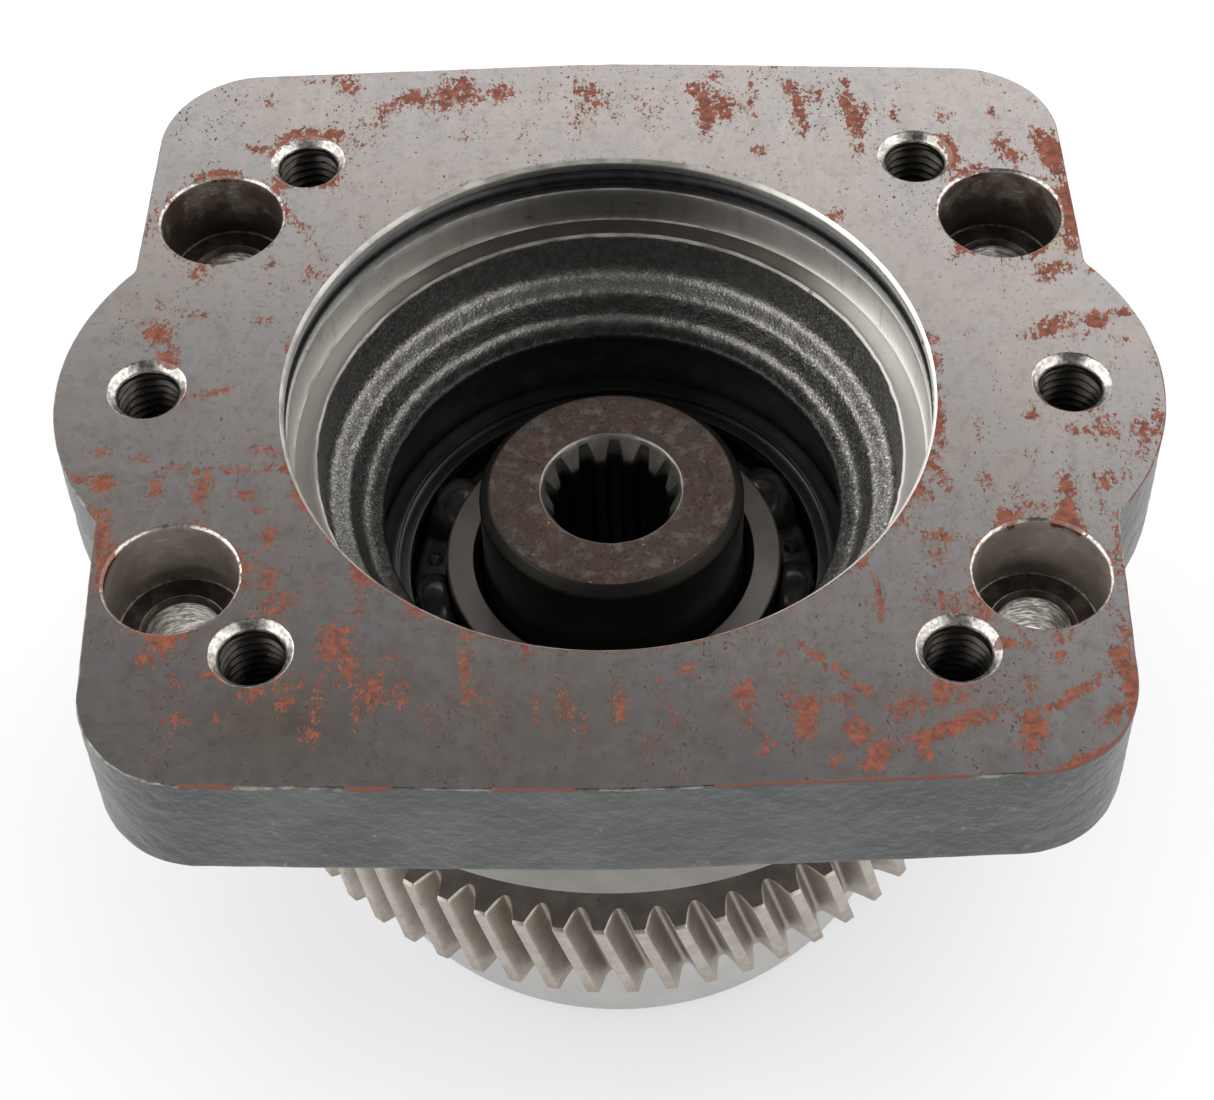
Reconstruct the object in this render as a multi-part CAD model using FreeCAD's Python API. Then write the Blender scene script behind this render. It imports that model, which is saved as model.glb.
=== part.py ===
import FreeCAD, Part
import os
from math import sin, cos, tan, pi, radians, degrees, atan2, sqrt, hypot, acos

V = FreeCAD.Vector

# ---------------------------------------------------------------------------
# Hydraulic pump drive unit: a lobed cast-iron flange housing that takes a
# large flange pump on its top face, a helical gear shaft with an internal
# spline for the pump shaft, and two deep groove ball bearings.
#
# Frame: Z is the shaft axis, pointing up to the pump. The origin is the centre
# of the pump pilot bore in the plane of the pump mounting face. X runs through
# the two side lobes. All sizes are in millimetres.
# ---------------------------------------------------------------------------

# --- flange plate ----------------------------------------------------------
FLANGE_T = 27.0            # plate thickness
EDGE_Y0 = 94.2             # half width on the Y axis
# the rough casting is a little different in each quadrant (sign of X, of Y):
# side edge |X| at |Y| = 35, how far it leans in, how far the long edge falls
EDGES = {(1, 1): (96.2, 0.0430, 0.0350),
         (-1, 1): (96.6, 0.0200, 0.0419),
         (-1, -1): (96.2, 0.0430, 0.0190),
         (1, -1): (96.0, 0.0140, 0.0419)}
CORNER_R = 21.0
LOBE_CX = 58.5             # side lobe arc centre and radius
LOBE_R = 50.0
NOTCH_R = 3.5              # concave blend between lobe and side edge
EDGE_ROUND = 0.7           # rounded lower edge of the casting

# --- pump interface --------------------------------------------------------
PILOT_R = 63.5             # 127 mm pilot bore
PILOT_CH = 0.7
PILOT_DEPTH = 17.0
GROOVE_TOP = 2.6           # O-ring groove, measured down from the face
GROOVE_BOTTOM = 8.2
GROOVE_R = 68.6
ORING_D = 5.0              # section of the O-ring as fitted
SHELF_IN_R = 58.8          # machined shelf under the pilot bore
TAP_R = 6.0                # M14 x 2 tapping drill
TAP_CH_R = 7.7
TAP_DEPTH = 21.0
TAP_SQUARE = 64.0          # half spacing of the square four-hole pattern
TAP_LINE = 90.5            # half spacing of the two side holes

# --- gearbox interface -----------------------------------------------------
CB_X, CB_Y = 80.45, 47.05  # counterbored bolt holes
CB_R = 12.5
CB_CH = 0.6
CB_DEPTH = 16.0
BOLT_R = 7.25
BOLT_CH = 1.05
SPIGOT_R = 80.0
SPIGOT_Z = -58.5
SPIGOT_CH = 0.5
SPIGOT_GROOVE_Z = -33.5    # centre of the outer O-ring groove
SPIGOT_GROOVE_W = 5.0
SPIGOT_GROOVE_R = 76.3
BOSS_R = 60.0              # bearing boss below the spigot
BOSS_Z = -71.5

# --- cast cup inside the housing: (radius, z), from the shelf to the lip ----
CUP = [(58.60, -17.55), (58.30, -21.8), (58.0, -25.2), (57.6, -26.7),
       (56.7, -27.75), (55.4, -28.25), (54.2, -28.6), (53.3, -29.2),
       (52.7, -30.3), (52.1, -31.8), (51.5, -33.2), (50.8, -34.3),
       (49.8, -34.95), (48.6, -35.2), (47.6, -35.45), (47.0, -36.0),
       (46.8, -37.0)]
LIP_UNDER_Z = -39.6        # where the lip meets the bearing bore

# --- upper bearing: 55 x 100 x 21 ------------------------------------------
UB = dict(bore=27.5, od=50.0, z_top=-52.3, width=21.0, pitch=39.0, ball=7.15,
          n=9, start=-8.0, inner_land=35.3, outer_land=43.0, seal_r=45.5,
          seal_d=2.4, cage_in=35.95, cage_out=42.3, cage_t=1.3, chamfer=1.5,
          inner_ch=2.2)
# --- lower bearing: 70 x 125 x 24 ------------------------------------------
LB = dict(bore=35.0, od=62.5, z_top=-113.5, width=24.0, pitch=48.75, ball=8.73,
          n=10, start=0.0, inner_land=43.9, outer_land=53.8, seal_r=56.4,
          seal_d=2.6, cage_in=44.7, cage_out=53.0, cage_t=1.5, chamfer=1.5,
          inner_ch=1.5)
BALL_PLAY = 0.08           # running play between ball and raceway

# --- gear shaft ------------------------------------------------------------
HUB_TOP = -31.2
HUB_R = 27.2
HUB_CH = 2.0
MOUTH_R = 14.45            # lead-in cone of the spline
MOUTH_DEPTH = 5.6
SPLINE_N = 13              # module 2, thirteen spaces
SPLINE_MINOR = 12.0
SPLINE_MAJOR = 14.0
SPLINE_PITCH = 13.0
SPLINE_PHASE = 88.0        # direction of one space, degrees
SPLINE_END = -96.0
BORE_BELOW = 16.0          # relief bore under the spline
SHAFT_END = -136.9
SHOULDER_R = 33.0
GEAR_TOP = -74.0
GEAR_BOTTOM = -98.5
GEAR_N = 61
GEAR_TIP = 79.6
GEAR_ROOT = 73.9
GEAR_TWIST = 4.73          # helix advance over the face, degrees (left hand)
GEAR_PHASE = -97.9         # direction of one tooth at the top face, degrees
GEAR_EDGE = 0.8            # end chamfer on the tooth tips
RIM_IN = 64.0
LOWER_HUB_R = 45.0

os.makedirs("parts", exist_ok=True)


def rev(pts):
    """Solid of revolution about Z from (r, z) points; a triple inside the
    list, ('arc', (r, z), (r, z)), is an arc through a point to an end."""
    edges = []
    last = pts[0]
    for p in list(pts[1:]) + [pts[0]]:
        if p[0] == 'arc':
            a, m, b = last, p[1], p[2]
            edges.append(Part.Arc(V(a[0], 0, a[1]), V(m[0], 0, m[1]),
                                  V(b[0], 0, b[1])).toShape())
            last = b
        else:
            if hypot(p[0] - last[0], p[1] - last[1]) > 1e-7:
                edges.append(Part.LineSegment(V(last[0], 0, last[1]),
                                              V(p[0], 0, p[1])).toShape())
            last = p
    f = Part.Face(Part.Wire(edges))
    s = f.revolve(V(0, 0, 0), V(0, 0, 1), 360)
    if s.ShapeType != 'Solid':
        s = Part.Solid(s) if s.ShapeType == 'Shell' else s.Solids[0]
    if s.Volume < 0:
        s.reverse()
    return s


def cyl(r, z0, z1, x=0.0, y=0.0):
    lo, hi = min(z0, z1), max(z0, z1)
    return Part.makeCylinder(r, hi - lo, V(x, y, lo), V(0, 0, 1))


def cone(r0, z0, r1, z1, x=0.0, y=0.0):
    """Frustum with radius r0 at z0 and r1 at z1, z0 below z1."""
    return Part.makeCone(r0, r1, z1 - z0, V(x, y, z0), V(0, 0, 1))


def save(name, shape):
    if shape.ShapeType == 'Compound' and len(shape.Solids) == 1:
        shape = shape.Solids[0]
    assert shape.isValid(), name
    shape.exportStep("parts/%s.step" % name)
    print("%-32s solids %2d volume %10.1f" % (name, len(shape.Solids),
                                             shape.Volume))


# ---------------------------------------------------------------------------
# flange outline, built for one quadrant and mirrored
# ---------------------------------------------------------------------------
def fillet_lines(p, d1, d2, r):
    """Tangent points, middle point of a fillet of radius r in the corner p
    between unit directions d1 (back) and d2 (forward)."""
    c = d1[0] * d2[0] + d1[1] * d2[1]
    half = acos(c) / 2.0
    t = r / tan(half)
    a = (p[0] + d1[0] * t, p[1] + d1[1] * t)
    b = (p[0] + d2[0] * t, p[1] + d2[1] * t)
    bx, by = d1[0] + d2[0], d1[1] + d2[1]
    bl = hypot(bx, by)
    cx = p[0] + bx / bl * r / sin(half)
    cy = p[1] + by / bl * r / sin(half)
    m = (cx - bx / bl * r, cy - by / bl * r)
    return a, m, b


def outline(side):
    # side edge line x = xs(y), long edge line y = yl(x), first quadrant
    EDGE_X35, EDGE_X_SLOPE, EDGE_Y_SLOPE = EDGES[side]
    xs = lambda y: EDGE_X35 - EDGE_X_SLOPE * (y - 35.0)
    yl = lambda x: EDGE_Y0 - EDGE_Y_SLOPE * x
    # corner
    y = 90.0
    for _ in range(50):
        y = yl(xs(y))
    p = (xs(y), y)
    ls = hypot(EDGE_X_SLOPE, 1.0)
    ll = hypot(EDGE_Y_SLOPE, 1.0)
    down = (EDGE_X_SLOPE / ls, -1.0 / ls)
    inward = (-1.0 / ll, EDGE_Y_SLOPE / ll)
    ca, cm, cb = fillet_lines(p, down, inward, CORNER_R)
    # notch: circle of radius NOTCH_R tangent to the lobe circle (outside) and
    # to the side line (on its outer side)
    lo, hi = 20.0, 60.0
    nx = lambda yy: xs(yy) + NOTCH_R * (1.0 / ls) + 0.0
    for _ in range(80):
        mid = (lo + hi) / 2
        # centre on the offset of the side line
        cxn = xs(mid) + NOTCH_R * ls
        d = hypot(cxn - LOBE_CX, mid)
        if d < LOBE_R + NOTCH_R:
            lo = mid
        else:
            hi = mid
    cyn = (lo + hi) / 2
    cxn = xs(cyn) + NOTCH_R * ls
    k = LOBE_R / (LOBE_R + NOTCH_R)
    na = (LOBE_CX + (cxn - LOBE_CX) * k, cyn * k)          # on the lobe
    # foot on the side line
    n = (1.0 / ls, EDGE_X_SLOPE / ls)
    nb = (cxn - n[0] * NOTCH_R, cyn - n[1] * NOTCH_R)
    a0 = atan2(na[1] - cyn, na[0] - cxn)
    a1 = atan2(nb[1] - cyn, nb[0] - cxn)
    if a1 < a0:
        a1 += 2 * pi
    if a1 - a0 > pi:
        a0 += 2 * pi
        a0, a1 = a0, a1
    am = (a0 + a1) / 2
    nm = (cxn + NOTCH_R * cos(am), cyn + NOTCH_R * sin(am))
    return dict(na=na, nm=nm, nb=nb, ca=ca, cm=cm, cb=cb)


def plate():
    o = {side: outline(side) for side in EDGES}

    def P(q, sx, sy):
        return V(q[0] * sx, q[1] * sy, 0.0)

    def C(key, sx, sy):
        return P(o[(sx, sy)][key], sx, sy)

    E = []

    def line(a, b):
        E.append(Part.LineSegment(a, b).toShape())

    def arc(a, m, b):
        E.append(Part.Arc(a, m, b).toShape())

    # a very flat arc rounds the apex of each long edge
    flat = 14.0

    def edge_y(sx, sy):
        return EDGE_Y0 - EDGES[(sx, sy)][2] * flat

    def apex(sy):
        mid = (EDGES[(1, sy)][2] + EDGES[(-1, sy)][2]) / 2.0
        return EDGE_Y0 - mid * flat / 2.0

    lobe = LOBE_CX + LOBE_R
    # counter-clockwise from the right lobe
    arc(C('na', 1, -1), V(lobe, 0, 0), C('na', 1, 1))
    arc(C('na', 1, 1), C('nm', 1, 1), C('nb', 1, 1))
    line(C('nb', 1, 1), C('ca', 1, 1))
    arc(C('ca', 1, 1), C('cm', 1, 1), C('cb', 1, 1))
    line(C('cb', 1, 1), V(flat, edge_y(1, 1), 0))
    arc(V(flat, edge_y(1, 1), 0), V(0, apex(1), 0),
        V(-flat, edge_y(-1, 1), 0))
    line(V(-flat, edge_y(-1, 1), 0), C('cb', -1, 1))
    arc(C('cb', -1, 1), C('cm', -1, 1), C('ca', -1, 1))
    line(C('ca', -1, 1), C('nb', -1, 1))
    arc(C('nb', -1, 1), C('nm', -1, 1), C('na', -1, 1))
    arc(C('na', -1, 1), V(-lobe, 0, 0), C('na', -1, -1))
    arc(C('na', -1, -1), C('nm', -1, -1), C('nb', -1, -1))
    line(C('nb', -1, -1), C('ca', -1, -1))
    arc(C('ca', -1, -1), C('cm', -1, -1), C('cb', -1, -1))
    line(C('cb', -1, -1), V(-flat, -edge_y(-1, -1), 0))
    arc(V(-flat, -edge_y(-1, -1), 0), V(0, -apex(-1), 0),
        V(flat, -edge_y(1, -1), 0))
    line(V(flat, -edge_y(1, -1), 0), C('cb', 1, -1))
    arc(C('cb', 1, -1), C('cm', 1, -1), C('ca', 1, -1))
    line(C('ca', 1, -1), C('nb', 1, -1))
    arc(C('nb', 1, -1), C('nm', 1, -1), C('na', 1, -1))
    w = Part.Wire(E)
    s = Part.Face(w).extrude(V(0, 0, -FLANGE_T))
    low = [e for e in s.Edges
           if abs(e.BoundBox.ZMax + FLANGE_T) < 1e-6]
    try:
        r = s.makeFillet(EDGE_ROUND, low)
        if r.isValid() and r.Volume > 0.9 * s.Volume:
            s = r if r.ShapeType == 'Solid' else r.Solids[0]
    except Exception as exc:
        print("plate keeps its square lower edge:", exc)
    return s


def housing():
    s = plate()
    g0 = SPIGOT_GROOVE_Z + SPIGOT_GROOVE_W / 2
    g1 = SPIGOT_GROOVE_Z - SPIGOT_GROOVE_W / 2
    under = rev([(0, -FLANGE_T + 5.0), (SPIGOT_R - 6, -FLANGE_T + 5.0),
                 (SPIGOT_R - 6, -FLANGE_T), (SPIGOT_R, -FLANGE_T),
                 (SPIGOT_R, g0), (SPIGOT_GROOVE_R, g0),
                 (SPIGOT_GROOVE_R, g1), (SPIGOT_R, g1),
                 (SPIGOT_R, SPIGOT_Z + SPIGOT_CH),
                 (SPIGOT_R - SPIGOT_CH, SPIGOT_Z),
                 (BOSS_R + 3.0, SPIGOT_Z),
                 ('arc', (BOSS_R + 3.0 - 3.0 * sin(pi / 4),
                          SPIGOT_Z - 3.0 + 3.0 * cos(pi / 4)),
                  (BOSS_R, SPIGOT_Z - 3.0)),
                 (BOSS_R, BOSS_Z + 1.0), (BOSS_R - 1.0, BOSS_Z),
                 (0, BOSS_Z)])
    s = s.fuse(under)
    top = 2.0
    cav = [(0, top), (PILOT_R + PILOT_CH + top, top),
           (PILOT_R + PILOT_CH, 0), (PILOT_R, -PILOT_CH),
           (PILOT_R, -GROOVE_TOP), (GROOVE_R, -GROOVE_TOP),
           (GROOVE_R, -GROOVE_BOTTOM), (PILOT_R, -GROOVE_BOTTOM),
           (PILOT_R, -PILOT_DEPTH + 0.3), (PILOT_R - 0.3, -PILOT_DEPTH),
           (SHELF_IN_R, -PILOT_DEPTH)]
    cav += CUP
    cav += [(CUP[-1][0], LIP_UNDER_Z + 1.2), (UB['od'], LIP_UNDER_Z),
            (UB['od'], BOSS_Z + 0.8), (UB['od'] + 0.8, BOSS_Z),
            (UB['od'] + 0.8, BOSS_Z - 2.0), (0, BOSS_Z - 2.0)]
    s = s.cut(rev(cav))
    cuts = []
    for x, y in [(TAP_SQUARE, TAP_SQUARE), (-TAP_SQUARE, TAP_SQUARE),
                 (-TAP_SQUARE, -TAP_SQUARE), (TAP_SQUARE, -TAP_SQUARE),
                 (TAP_LINE, 0), (-TAP_LINE, 0)]:
        ch = TAP_CH_R - TAP_R
        t = cyl(TAP_R, 1.0, -TAP_DEPTH, x, y)
        t = t.fuse(cone(TAP_R, -ch, TAP_CH_R + 1.0, 1.0, x, y))
        t = t.fuse(cone(0.0, -TAP_DEPTH - TAP_R * tan(radians(31)), TAP_R,
                        -TAP_DEPTH, x, y))
        cuts.append(t)
    for sx in (1, -1):
        for sy in (1, -1):
            x, y = CB_X * sx, CB_Y * sy
            t = cyl(CB_R, 1.0, -CB_DEPTH, x, y)
            t = t.fuse(cone(CB_R, -CB_CH, CB_R + CB_CH + 1.0, 1.0, x, y))
            t = t.fuse(cyl(BOLT_R, -CB_DEPTH + 1, -FLANGE_T - 1, x, y))
            t = t.fuse(cone(BOLT_R, -CB_DEPTH - BOLT_CH,
                            BOLT_R + BOLT_CH, -CB_DEPTH, x, y))
            t = t.fuse(cone(BOLT_R + 1.0, -FLANGE_T - 1.0, BOLT_R,
                            -FLANGE_T, x, y))
            cuts.append(t)
    for t in cuts:
        s = s.cut(t)
    if s.ShapeType != 'Solid':
        s = s.Solids[0]
    return s


def oring(ring_r, z, d):
    return Part.makeTorus(ring_r, d / 2.0, V(0, 0, z), V(0, 0, 1))


# ---------------------------------------------------------------------------
# deep groove ball bearing with a riveted two-piece ribbon cage
# ---------------------------------------------------------------------------
def bearing(b):
    z1 = b['z_top']
    z0 = z1 - b['width']
    zm = (z0 + z1) / 2
    rg = b['ball'] + 0.2                       # raceway groove radius
    # inner ring
    bottom = b['pitch'] - b['ball'] - BALL_PLAY
    cx = bottom + rg
    h = sqrt(rg ** 2 - (cx - b['inner_land']) ** 2)
    c, ci, e = b['chamfer'], b['inner_ch'], 0.5
    inner = rev([(b['bore'], z0 + ci), (b['bore'] + ci, z0),
                 (b['inner_land'] - e, z0), (b['inner_land'], z0 + e),
                 (b['inner_land'], zm - h),
                 ('arc', (bottom, zm), (b['inner_land'], zm + h)),
                 (b['inner_land'], z1 - e), (b['inner_land'] - e, z1),
                 (b['bore'] + ci, z1), (b['bore'], z1 - ci)])
    # outer ring, with the seal recess in both ends
    top = b['pitch'] + b['ball'] + BALL_PLAY
    cx = top - rg
    h = sqrt(rg ** 2 - (b['outer_land'] - cx) ** 2)
    sd, sr = b['seal_d'], b['seal_r']
    outer = rev([(b['od'], z0 + c), (b['od'], z1 - c), (b['od'] - c, z1),
                 (sr + 0.3, z1), (sr, z1 - 0.3),
                 (sr, z1 - sd * 0.45), (sr + 0.7, z1 - sd * 0.6),
                 (sr + 0.7, z1 - sd * 0.85), (sr, z1 - sd),
                 (b['outer_land'] + 0.6, z1 - sd),
                 (b['outer_land'], z1 - sd - 0.5),
                 (b['outer_land'], zm + h),
                 ('arc', (top, zm), (b['outer_land'], zm - h)),
                 (b['outer_land'], z0 + sd + 0.5),
                 (b['outer_land'] + 0.6, z0 + sd),
                 (sr, z0 + sd), (sr + 0.7, z0 + sd * 0.85),
                 (sr + 0.7, z0 + sd * 0.6), (sr, z0 + sd * 0.45),
                 (sr, z0 + 0.3), (sr + 0.3, z0), (b['od'] - c, z0)])
    # balls
    ang = [radians(b['start'] + 360.0 / b['n'] * i) for i in range(b['n'])]
    ctr = [V(b['pitch'] * cos(a), b['pitch'] * sin(a), zm) for a in ang]
    balls = [Part.makeSphere(b['ball'], p) for p in ctr]
    # cage halves: a flat ribbon with a domed pocket over each ball
    t = b['cage_t']
    rin = b['ball'] + 0.12
    rout = rin + t
    halves = []
    for s in (1, -1):
        zlo, zhi = (zm, zm + rout + 1) if s > 0 else (zm - rout - 1, zm)
        ann = cyl(b['cage_out'], zlo, zhi).cut(cyl(b['cage_in'], zlo - 1,
                                                   zhi + 1))
        rib = cyl(b['cage_out'], zm, zm + s * t).cut(
            cyl(b['cage_in'], zm - t - 1, zm + t + 1))
        domes = Part.makeCompound([Part.makeSphere(rout, p) for p in ctr])
        half = rib
        for p in ctr:
            d = Part.makeSphere(rout, p).common(ann)
            half = half.fuse(d)
        for p in ctr:
            half = half.cut(Part.makeSphere(rin, p))
        half = half.removeSplitter()
        halves.append(half if half.ShapeType == 'Solid' else half.Solids[0])
    # rivets between the pockets
    rm = b['pitch']
    rr, hr, hh = 1.1, 1.9, 1.0
    rivets = []
    for i in range(b['n']):
        a = ang[i] + pi / b['n']
        x, y = rm * cos(a), rm * sin(a)
        body = Part.makeCylinder(rr, 2 * t, V(x, y, zm - t), V(0, 0, 1))
        prof = Part.makeCone(hr, hr * 0.55, hh, V(x, y, zm + t), V(0, 0, 1))
        low = Part.makeCone(hr, hr * 0.55, hh, V(x, y, zm - t), V(0, 0, -1))
        rv = body.fuse(prof).fuse(low)
        rivets.append(rv if rv.ShapeType == 'Solid' else rv.Solids[0])
        hole = Part.makeCylinder(rr, 2 * t + 2, V(x, y, zm - t - 1),
                                 V(0, 0, 1))
        halves = [q.cut(hole) for q in halves]
    halves = [q if q.ShapeType == 'Solid' else q.Solids[0] for q in halves]
    return inner, outer, balls, halves, rivets


# ---------------------------------------------------------------------------
# gear shaft
# ---------------------------------------------------------------------------
def gear_wire(z, turn):
    """Closed tooth outline at height z, turned by `turn` degrees."""
    step = 360.0 / GEAR_N
    pts = []
    for i in range(GEAR_N):
        c = GEAR_PHASE + turn + i * step
        # half angles of the tooth, as a fraction of the tooth pitch, by radius
        for r, f in ((GEAR_ROOT + 0.25, -0.415), (GEAR_ROOT + 1.3, -0.345),
                     (GEAR_ROOT + 3.2, -0.258), (GEAR_ROOT + 4.8, -0.190),
                     (GEAR_TIP, -0.142), (GEAR_TIP, 0.142),
                     (GEAR_ROOT + 4.8, 0.190), (GEAR_ROOT + 3.2, 0.258),
                     (GEAR_ROOT + 1.3, 0.345), (GEAR_ROOT + 0.25, 0.415),
                     (GEAR_ROOT, 0.5)):
            a = radians(c + f * step)
            pts.append(V(r * cos(a), r * sin(a), z))
    pts.append(pts[0])
    return Part.makePolygon(pts)


def gear_rim():
    w0 = gear_wire(GEAR_TOP, 0.0)
    w1 = gear_wire((GEAR_TOP + GEAR_BOTTOM) / 2, GEAR_TWIST / 2)
    w2 = gear_wire(GEAR_BOTTOM, GEAR_TWIST)
    s = Part.makeLoft([w0, w1, w2], True, True)
    if s.ShapeType != 'Solid':
        s = s.Solids[0]
    if s.Volume < 0:
        s.reverse()
    # end chamfers on the tips
    e = GEAR_EDGE
    env = rev([(0, GEAR_TOP), (GEAR_TIP - e, GEAR_TOP),
               (GEAR_TIP + 0.6, GEAR_TOP - e - 0.6),
               (GEAR_TIP + 0.6, GEAR_BOTTOM + e + 0.6),
               (GEAR_TIP - e, GEAR_BOTTOM), (0, GEAR_BOTTOM)])
    s = s.common(env)
    if s.ShapeType != 'Solid':
        s = s.Solids[0]
    return s


def spline_cutter():
    step = 360.0 / SPLINE_N
    pts = []
    for i in range(SPLINE_N):
        c = SPLINE_PHASE + i * step
        for r, f in ((SPLINE_MINOR, -0.335), (SPLINE_PITCH, -0.25),
                     (SPLINE_MAJOR - 0.3, -0.185), (SPLINE_MAJOR, -0.14),
                     (SPLINE_MAJOR, 0.14), (SPLINE_MAJOR - 0.3, 0.185),
                     (SPLINE_PITCH, 0.25), (SPLINE_MINOR, 0.335)):
            a = radians(c + f * step)
            pts.append(V(r * cos(a), r * sin(a), HUB_TOP + 1))
    pts.append(pts[0])
    f = Part.Face(Part.makePolygon(pts))
    return f.extrude(V(0, 0, SPLINE_END - HUB_TOP - 1.5))


def gear_shaft():
    body = rev([(0, HUB_TOP), (HUB_R - HUB_CH, HUB_TOP),
                (HUB_R, HUB_TOP - HUB_CH),
                (HUB_R, UB['z_top'] + 1.0), (UB['bore'], UB['z_top'] + 0.6),
                (UB['bore'], UB['z_top'] - UB['width']),
                (SHOULDER_R, UB['z_top'] - UB['width']),
                (SHOULDER_R, GEAR_TOP - 3.0),
                (RIM_IN, GEAR_TOP - 3.0), (RIM_IN, GEAR_TOP),
                (GEAR_ROOT - 1.2, GEAR_TOP),
                (GEAR_ROOT - 1.2, GEAR_BOTTOM),
                (RIM_IN + 2.0, GEAR_BOTTOM), (RIM_IN, GEAR_BOTTOM + 4.0),
                (LOWER_HUB_R + 4.0, GEAR_BOTTOM + 4.0),
                ('arc', (LOWER_HUB_R + 4.0 - 4.0 * sin(pi / 4),
                         GEAR_BOTTOM + 4.0 * cos(pi / 4)),
                 (LOWER_HUB_R, GEAR_BOTTOM)),
                (LOWER_HUB_R, LB['z_top'] + 6.0),
                (LOWER_HUB_R - 3.5, LB['z_top'] + 3.0),
                (LOWER_HUB_R - 3.5, LB['z_top']),
                (LB['bore'], LB['z_top']),
                (LB['bore'], SHAFT_END + 1.5), (LB['bore'] - 1.5, SHAFT_END),
                (0, SHAFT_END)])
    s = body.fuse(gear_rim())
    if s.ShapeType != 'Solid':
        s = s.Solids[0]
    s = s.cut(cyl(SPLINE_MINOR, HUB_TOP + 1, SPLINE_END))
    s = s.cut(spline_cutter())
    s = s.cut(cone(SPLINE_MINOR, HUB_TOP - MOUTH_DEPTH,
                   MOUTH_R + (MOUTH_R - SPLINE_MINOR) / MOUTH_DEPTH,
                   HUB_TOP + 1))
    s = s.cut(cyl(BORE_BELOW, SPLINE_END, SHAFT_END - 1))
    s = s.cut(cone(BORE_BELOW + 2.5, SHAFT_END - 1.0, BORE_BELOW,
                   SHAFT_END + 1.5))
    if s.ShapeType != 'Solid':
        s = s.Solids[0]
    return s


save("flange_housing", housing())
save("pilot_o_ring", oring(PILOT_R + 0.05 + ORING_D / 2,
                           -(GROOVE_TOP + GROOVE_BOTTOM) / 2, ORING_D))
save("spigot_o_ring", oring(SPIGOT_R - 0.1 - 1.75, SPIGOT_GROOVE_Z, 3.5))
for tag, b in (("upper", UB), ("lower", LB)):
    inner, outer, balls, halves, rivets = bearing(b)
    save(tag + "_bearing_inner_ring", inner)
    save(tag + "_bearing_outer_ring", outer)
    save(tag + "_bearing_balls", Part.makeCompound(balls))
    save(tag + "_bearing_cage_top", halves[0])
    save(tag + "_bearing_cage_bottom", halves[1])
    save(tag + "_bearing_cage_rivets", Part.makeCompound(rivets))
save("gear_shaft", gear_shaft())
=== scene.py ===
import bpy
import bmesh
import math
import numpy as np
from mathutils import Matrix, Vector
from mathutils.geometry import delaunay_2d_cdt


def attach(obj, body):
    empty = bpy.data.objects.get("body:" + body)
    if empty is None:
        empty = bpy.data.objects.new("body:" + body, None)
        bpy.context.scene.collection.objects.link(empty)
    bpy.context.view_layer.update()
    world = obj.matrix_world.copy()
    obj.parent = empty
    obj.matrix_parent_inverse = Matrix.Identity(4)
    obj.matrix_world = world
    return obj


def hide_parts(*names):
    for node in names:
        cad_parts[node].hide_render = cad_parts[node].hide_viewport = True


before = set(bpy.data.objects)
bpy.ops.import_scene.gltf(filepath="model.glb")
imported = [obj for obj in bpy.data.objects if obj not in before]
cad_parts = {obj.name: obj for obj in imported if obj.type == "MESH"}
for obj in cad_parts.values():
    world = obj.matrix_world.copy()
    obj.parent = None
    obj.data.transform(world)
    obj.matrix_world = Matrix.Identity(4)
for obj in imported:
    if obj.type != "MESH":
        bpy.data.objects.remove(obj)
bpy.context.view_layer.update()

MM = 0.001
PI = math.pi

# ---------------------------------------------------------------------------
# camera
# ---------------------------------------------------------------------------
CAM_AZ, CAM_EL, CAM_ROLL = 1.80, 51.34, -1.80
CAM_AT = (0.0130280, -0.3475442, 0.3874431)


def make_camera():
    a, e, r = (math.radians(x) for x in (CAM_AZ, CAM_EL, CAM_ROLL))
    back = Vector((math.sin(a) * math.cos(e), -math.cos(a) * math.cos(e),
                   math.sin(e)))
    fwd = -back
    right = fwd.cross(Vector((0, 0, 1))).normalized()
    up = right.cross(fwd)
    r2 = right * math.cos(r) + up * math.sin(r)
    u2 = -right * math.sin(r) + up * math.cos(r)
    cam = bpy.data.cameras.new("camera")
    ob = bpy.data.objects.new("camera", cam)
    bpy.context.scene.collection.objects.link(ob)
    m = Matrix(((r2.x, u2.x, back.x), (r2.y, u2.y, back.y),
                (r2.z, u2.z, back.z))).to_4x4()
    m.translation = Vector(CAM_AT)
    ob.matrix_world = m
    cam.sensor_fit = "HORIZONTAL"
    cam.sensor_width = 36.0
    cam.lens = 78.81
    cam.shift_x = -0.01326
    cam.shift_y = -0.01137
    cam.clip_start, cam.clip_end = 0.01, 20.0
    cam.dof.use_dof = False
    bpy.context.scene.camera = ob


make_camera()

# ---------------------------------------------------------------------------
# numbers shared with the design, millimetres
# ---------------------------------------------------------------------------
FLANGE_T = 27.0
TAPS = [(64.0, 64.0), (-64.0, 64.0), (-64.0, -64.0), (64.0, -64.0),
        (90.5, 0.0), (-90.5, 0.0)]
BOLTS = [(80.45, 47.05), (-80.45, 47.05), (-80.45, -47.05), (80.45, -47.05)]
FLOOR_Z = -137.5


# ---------------------------------------------------------------------------
# noise and mesh helpers
# ---------------------------------------------------------------------------
def _h(ix, iy, iz, seed):
    n = (ix * 374761393 + iy * 668265263 + iz * 1440662683
         + seed * 1274126177) & 0x7FFFFFFF
    n = ((n ^ (n >> 13)) * 1274126177) & 0x7FFFFFFF
    n = n ^ (n >> 16)
    return (n & 0xFFFFFF) / float(0xFFFFFF) * 2.0 - 1.0


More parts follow.
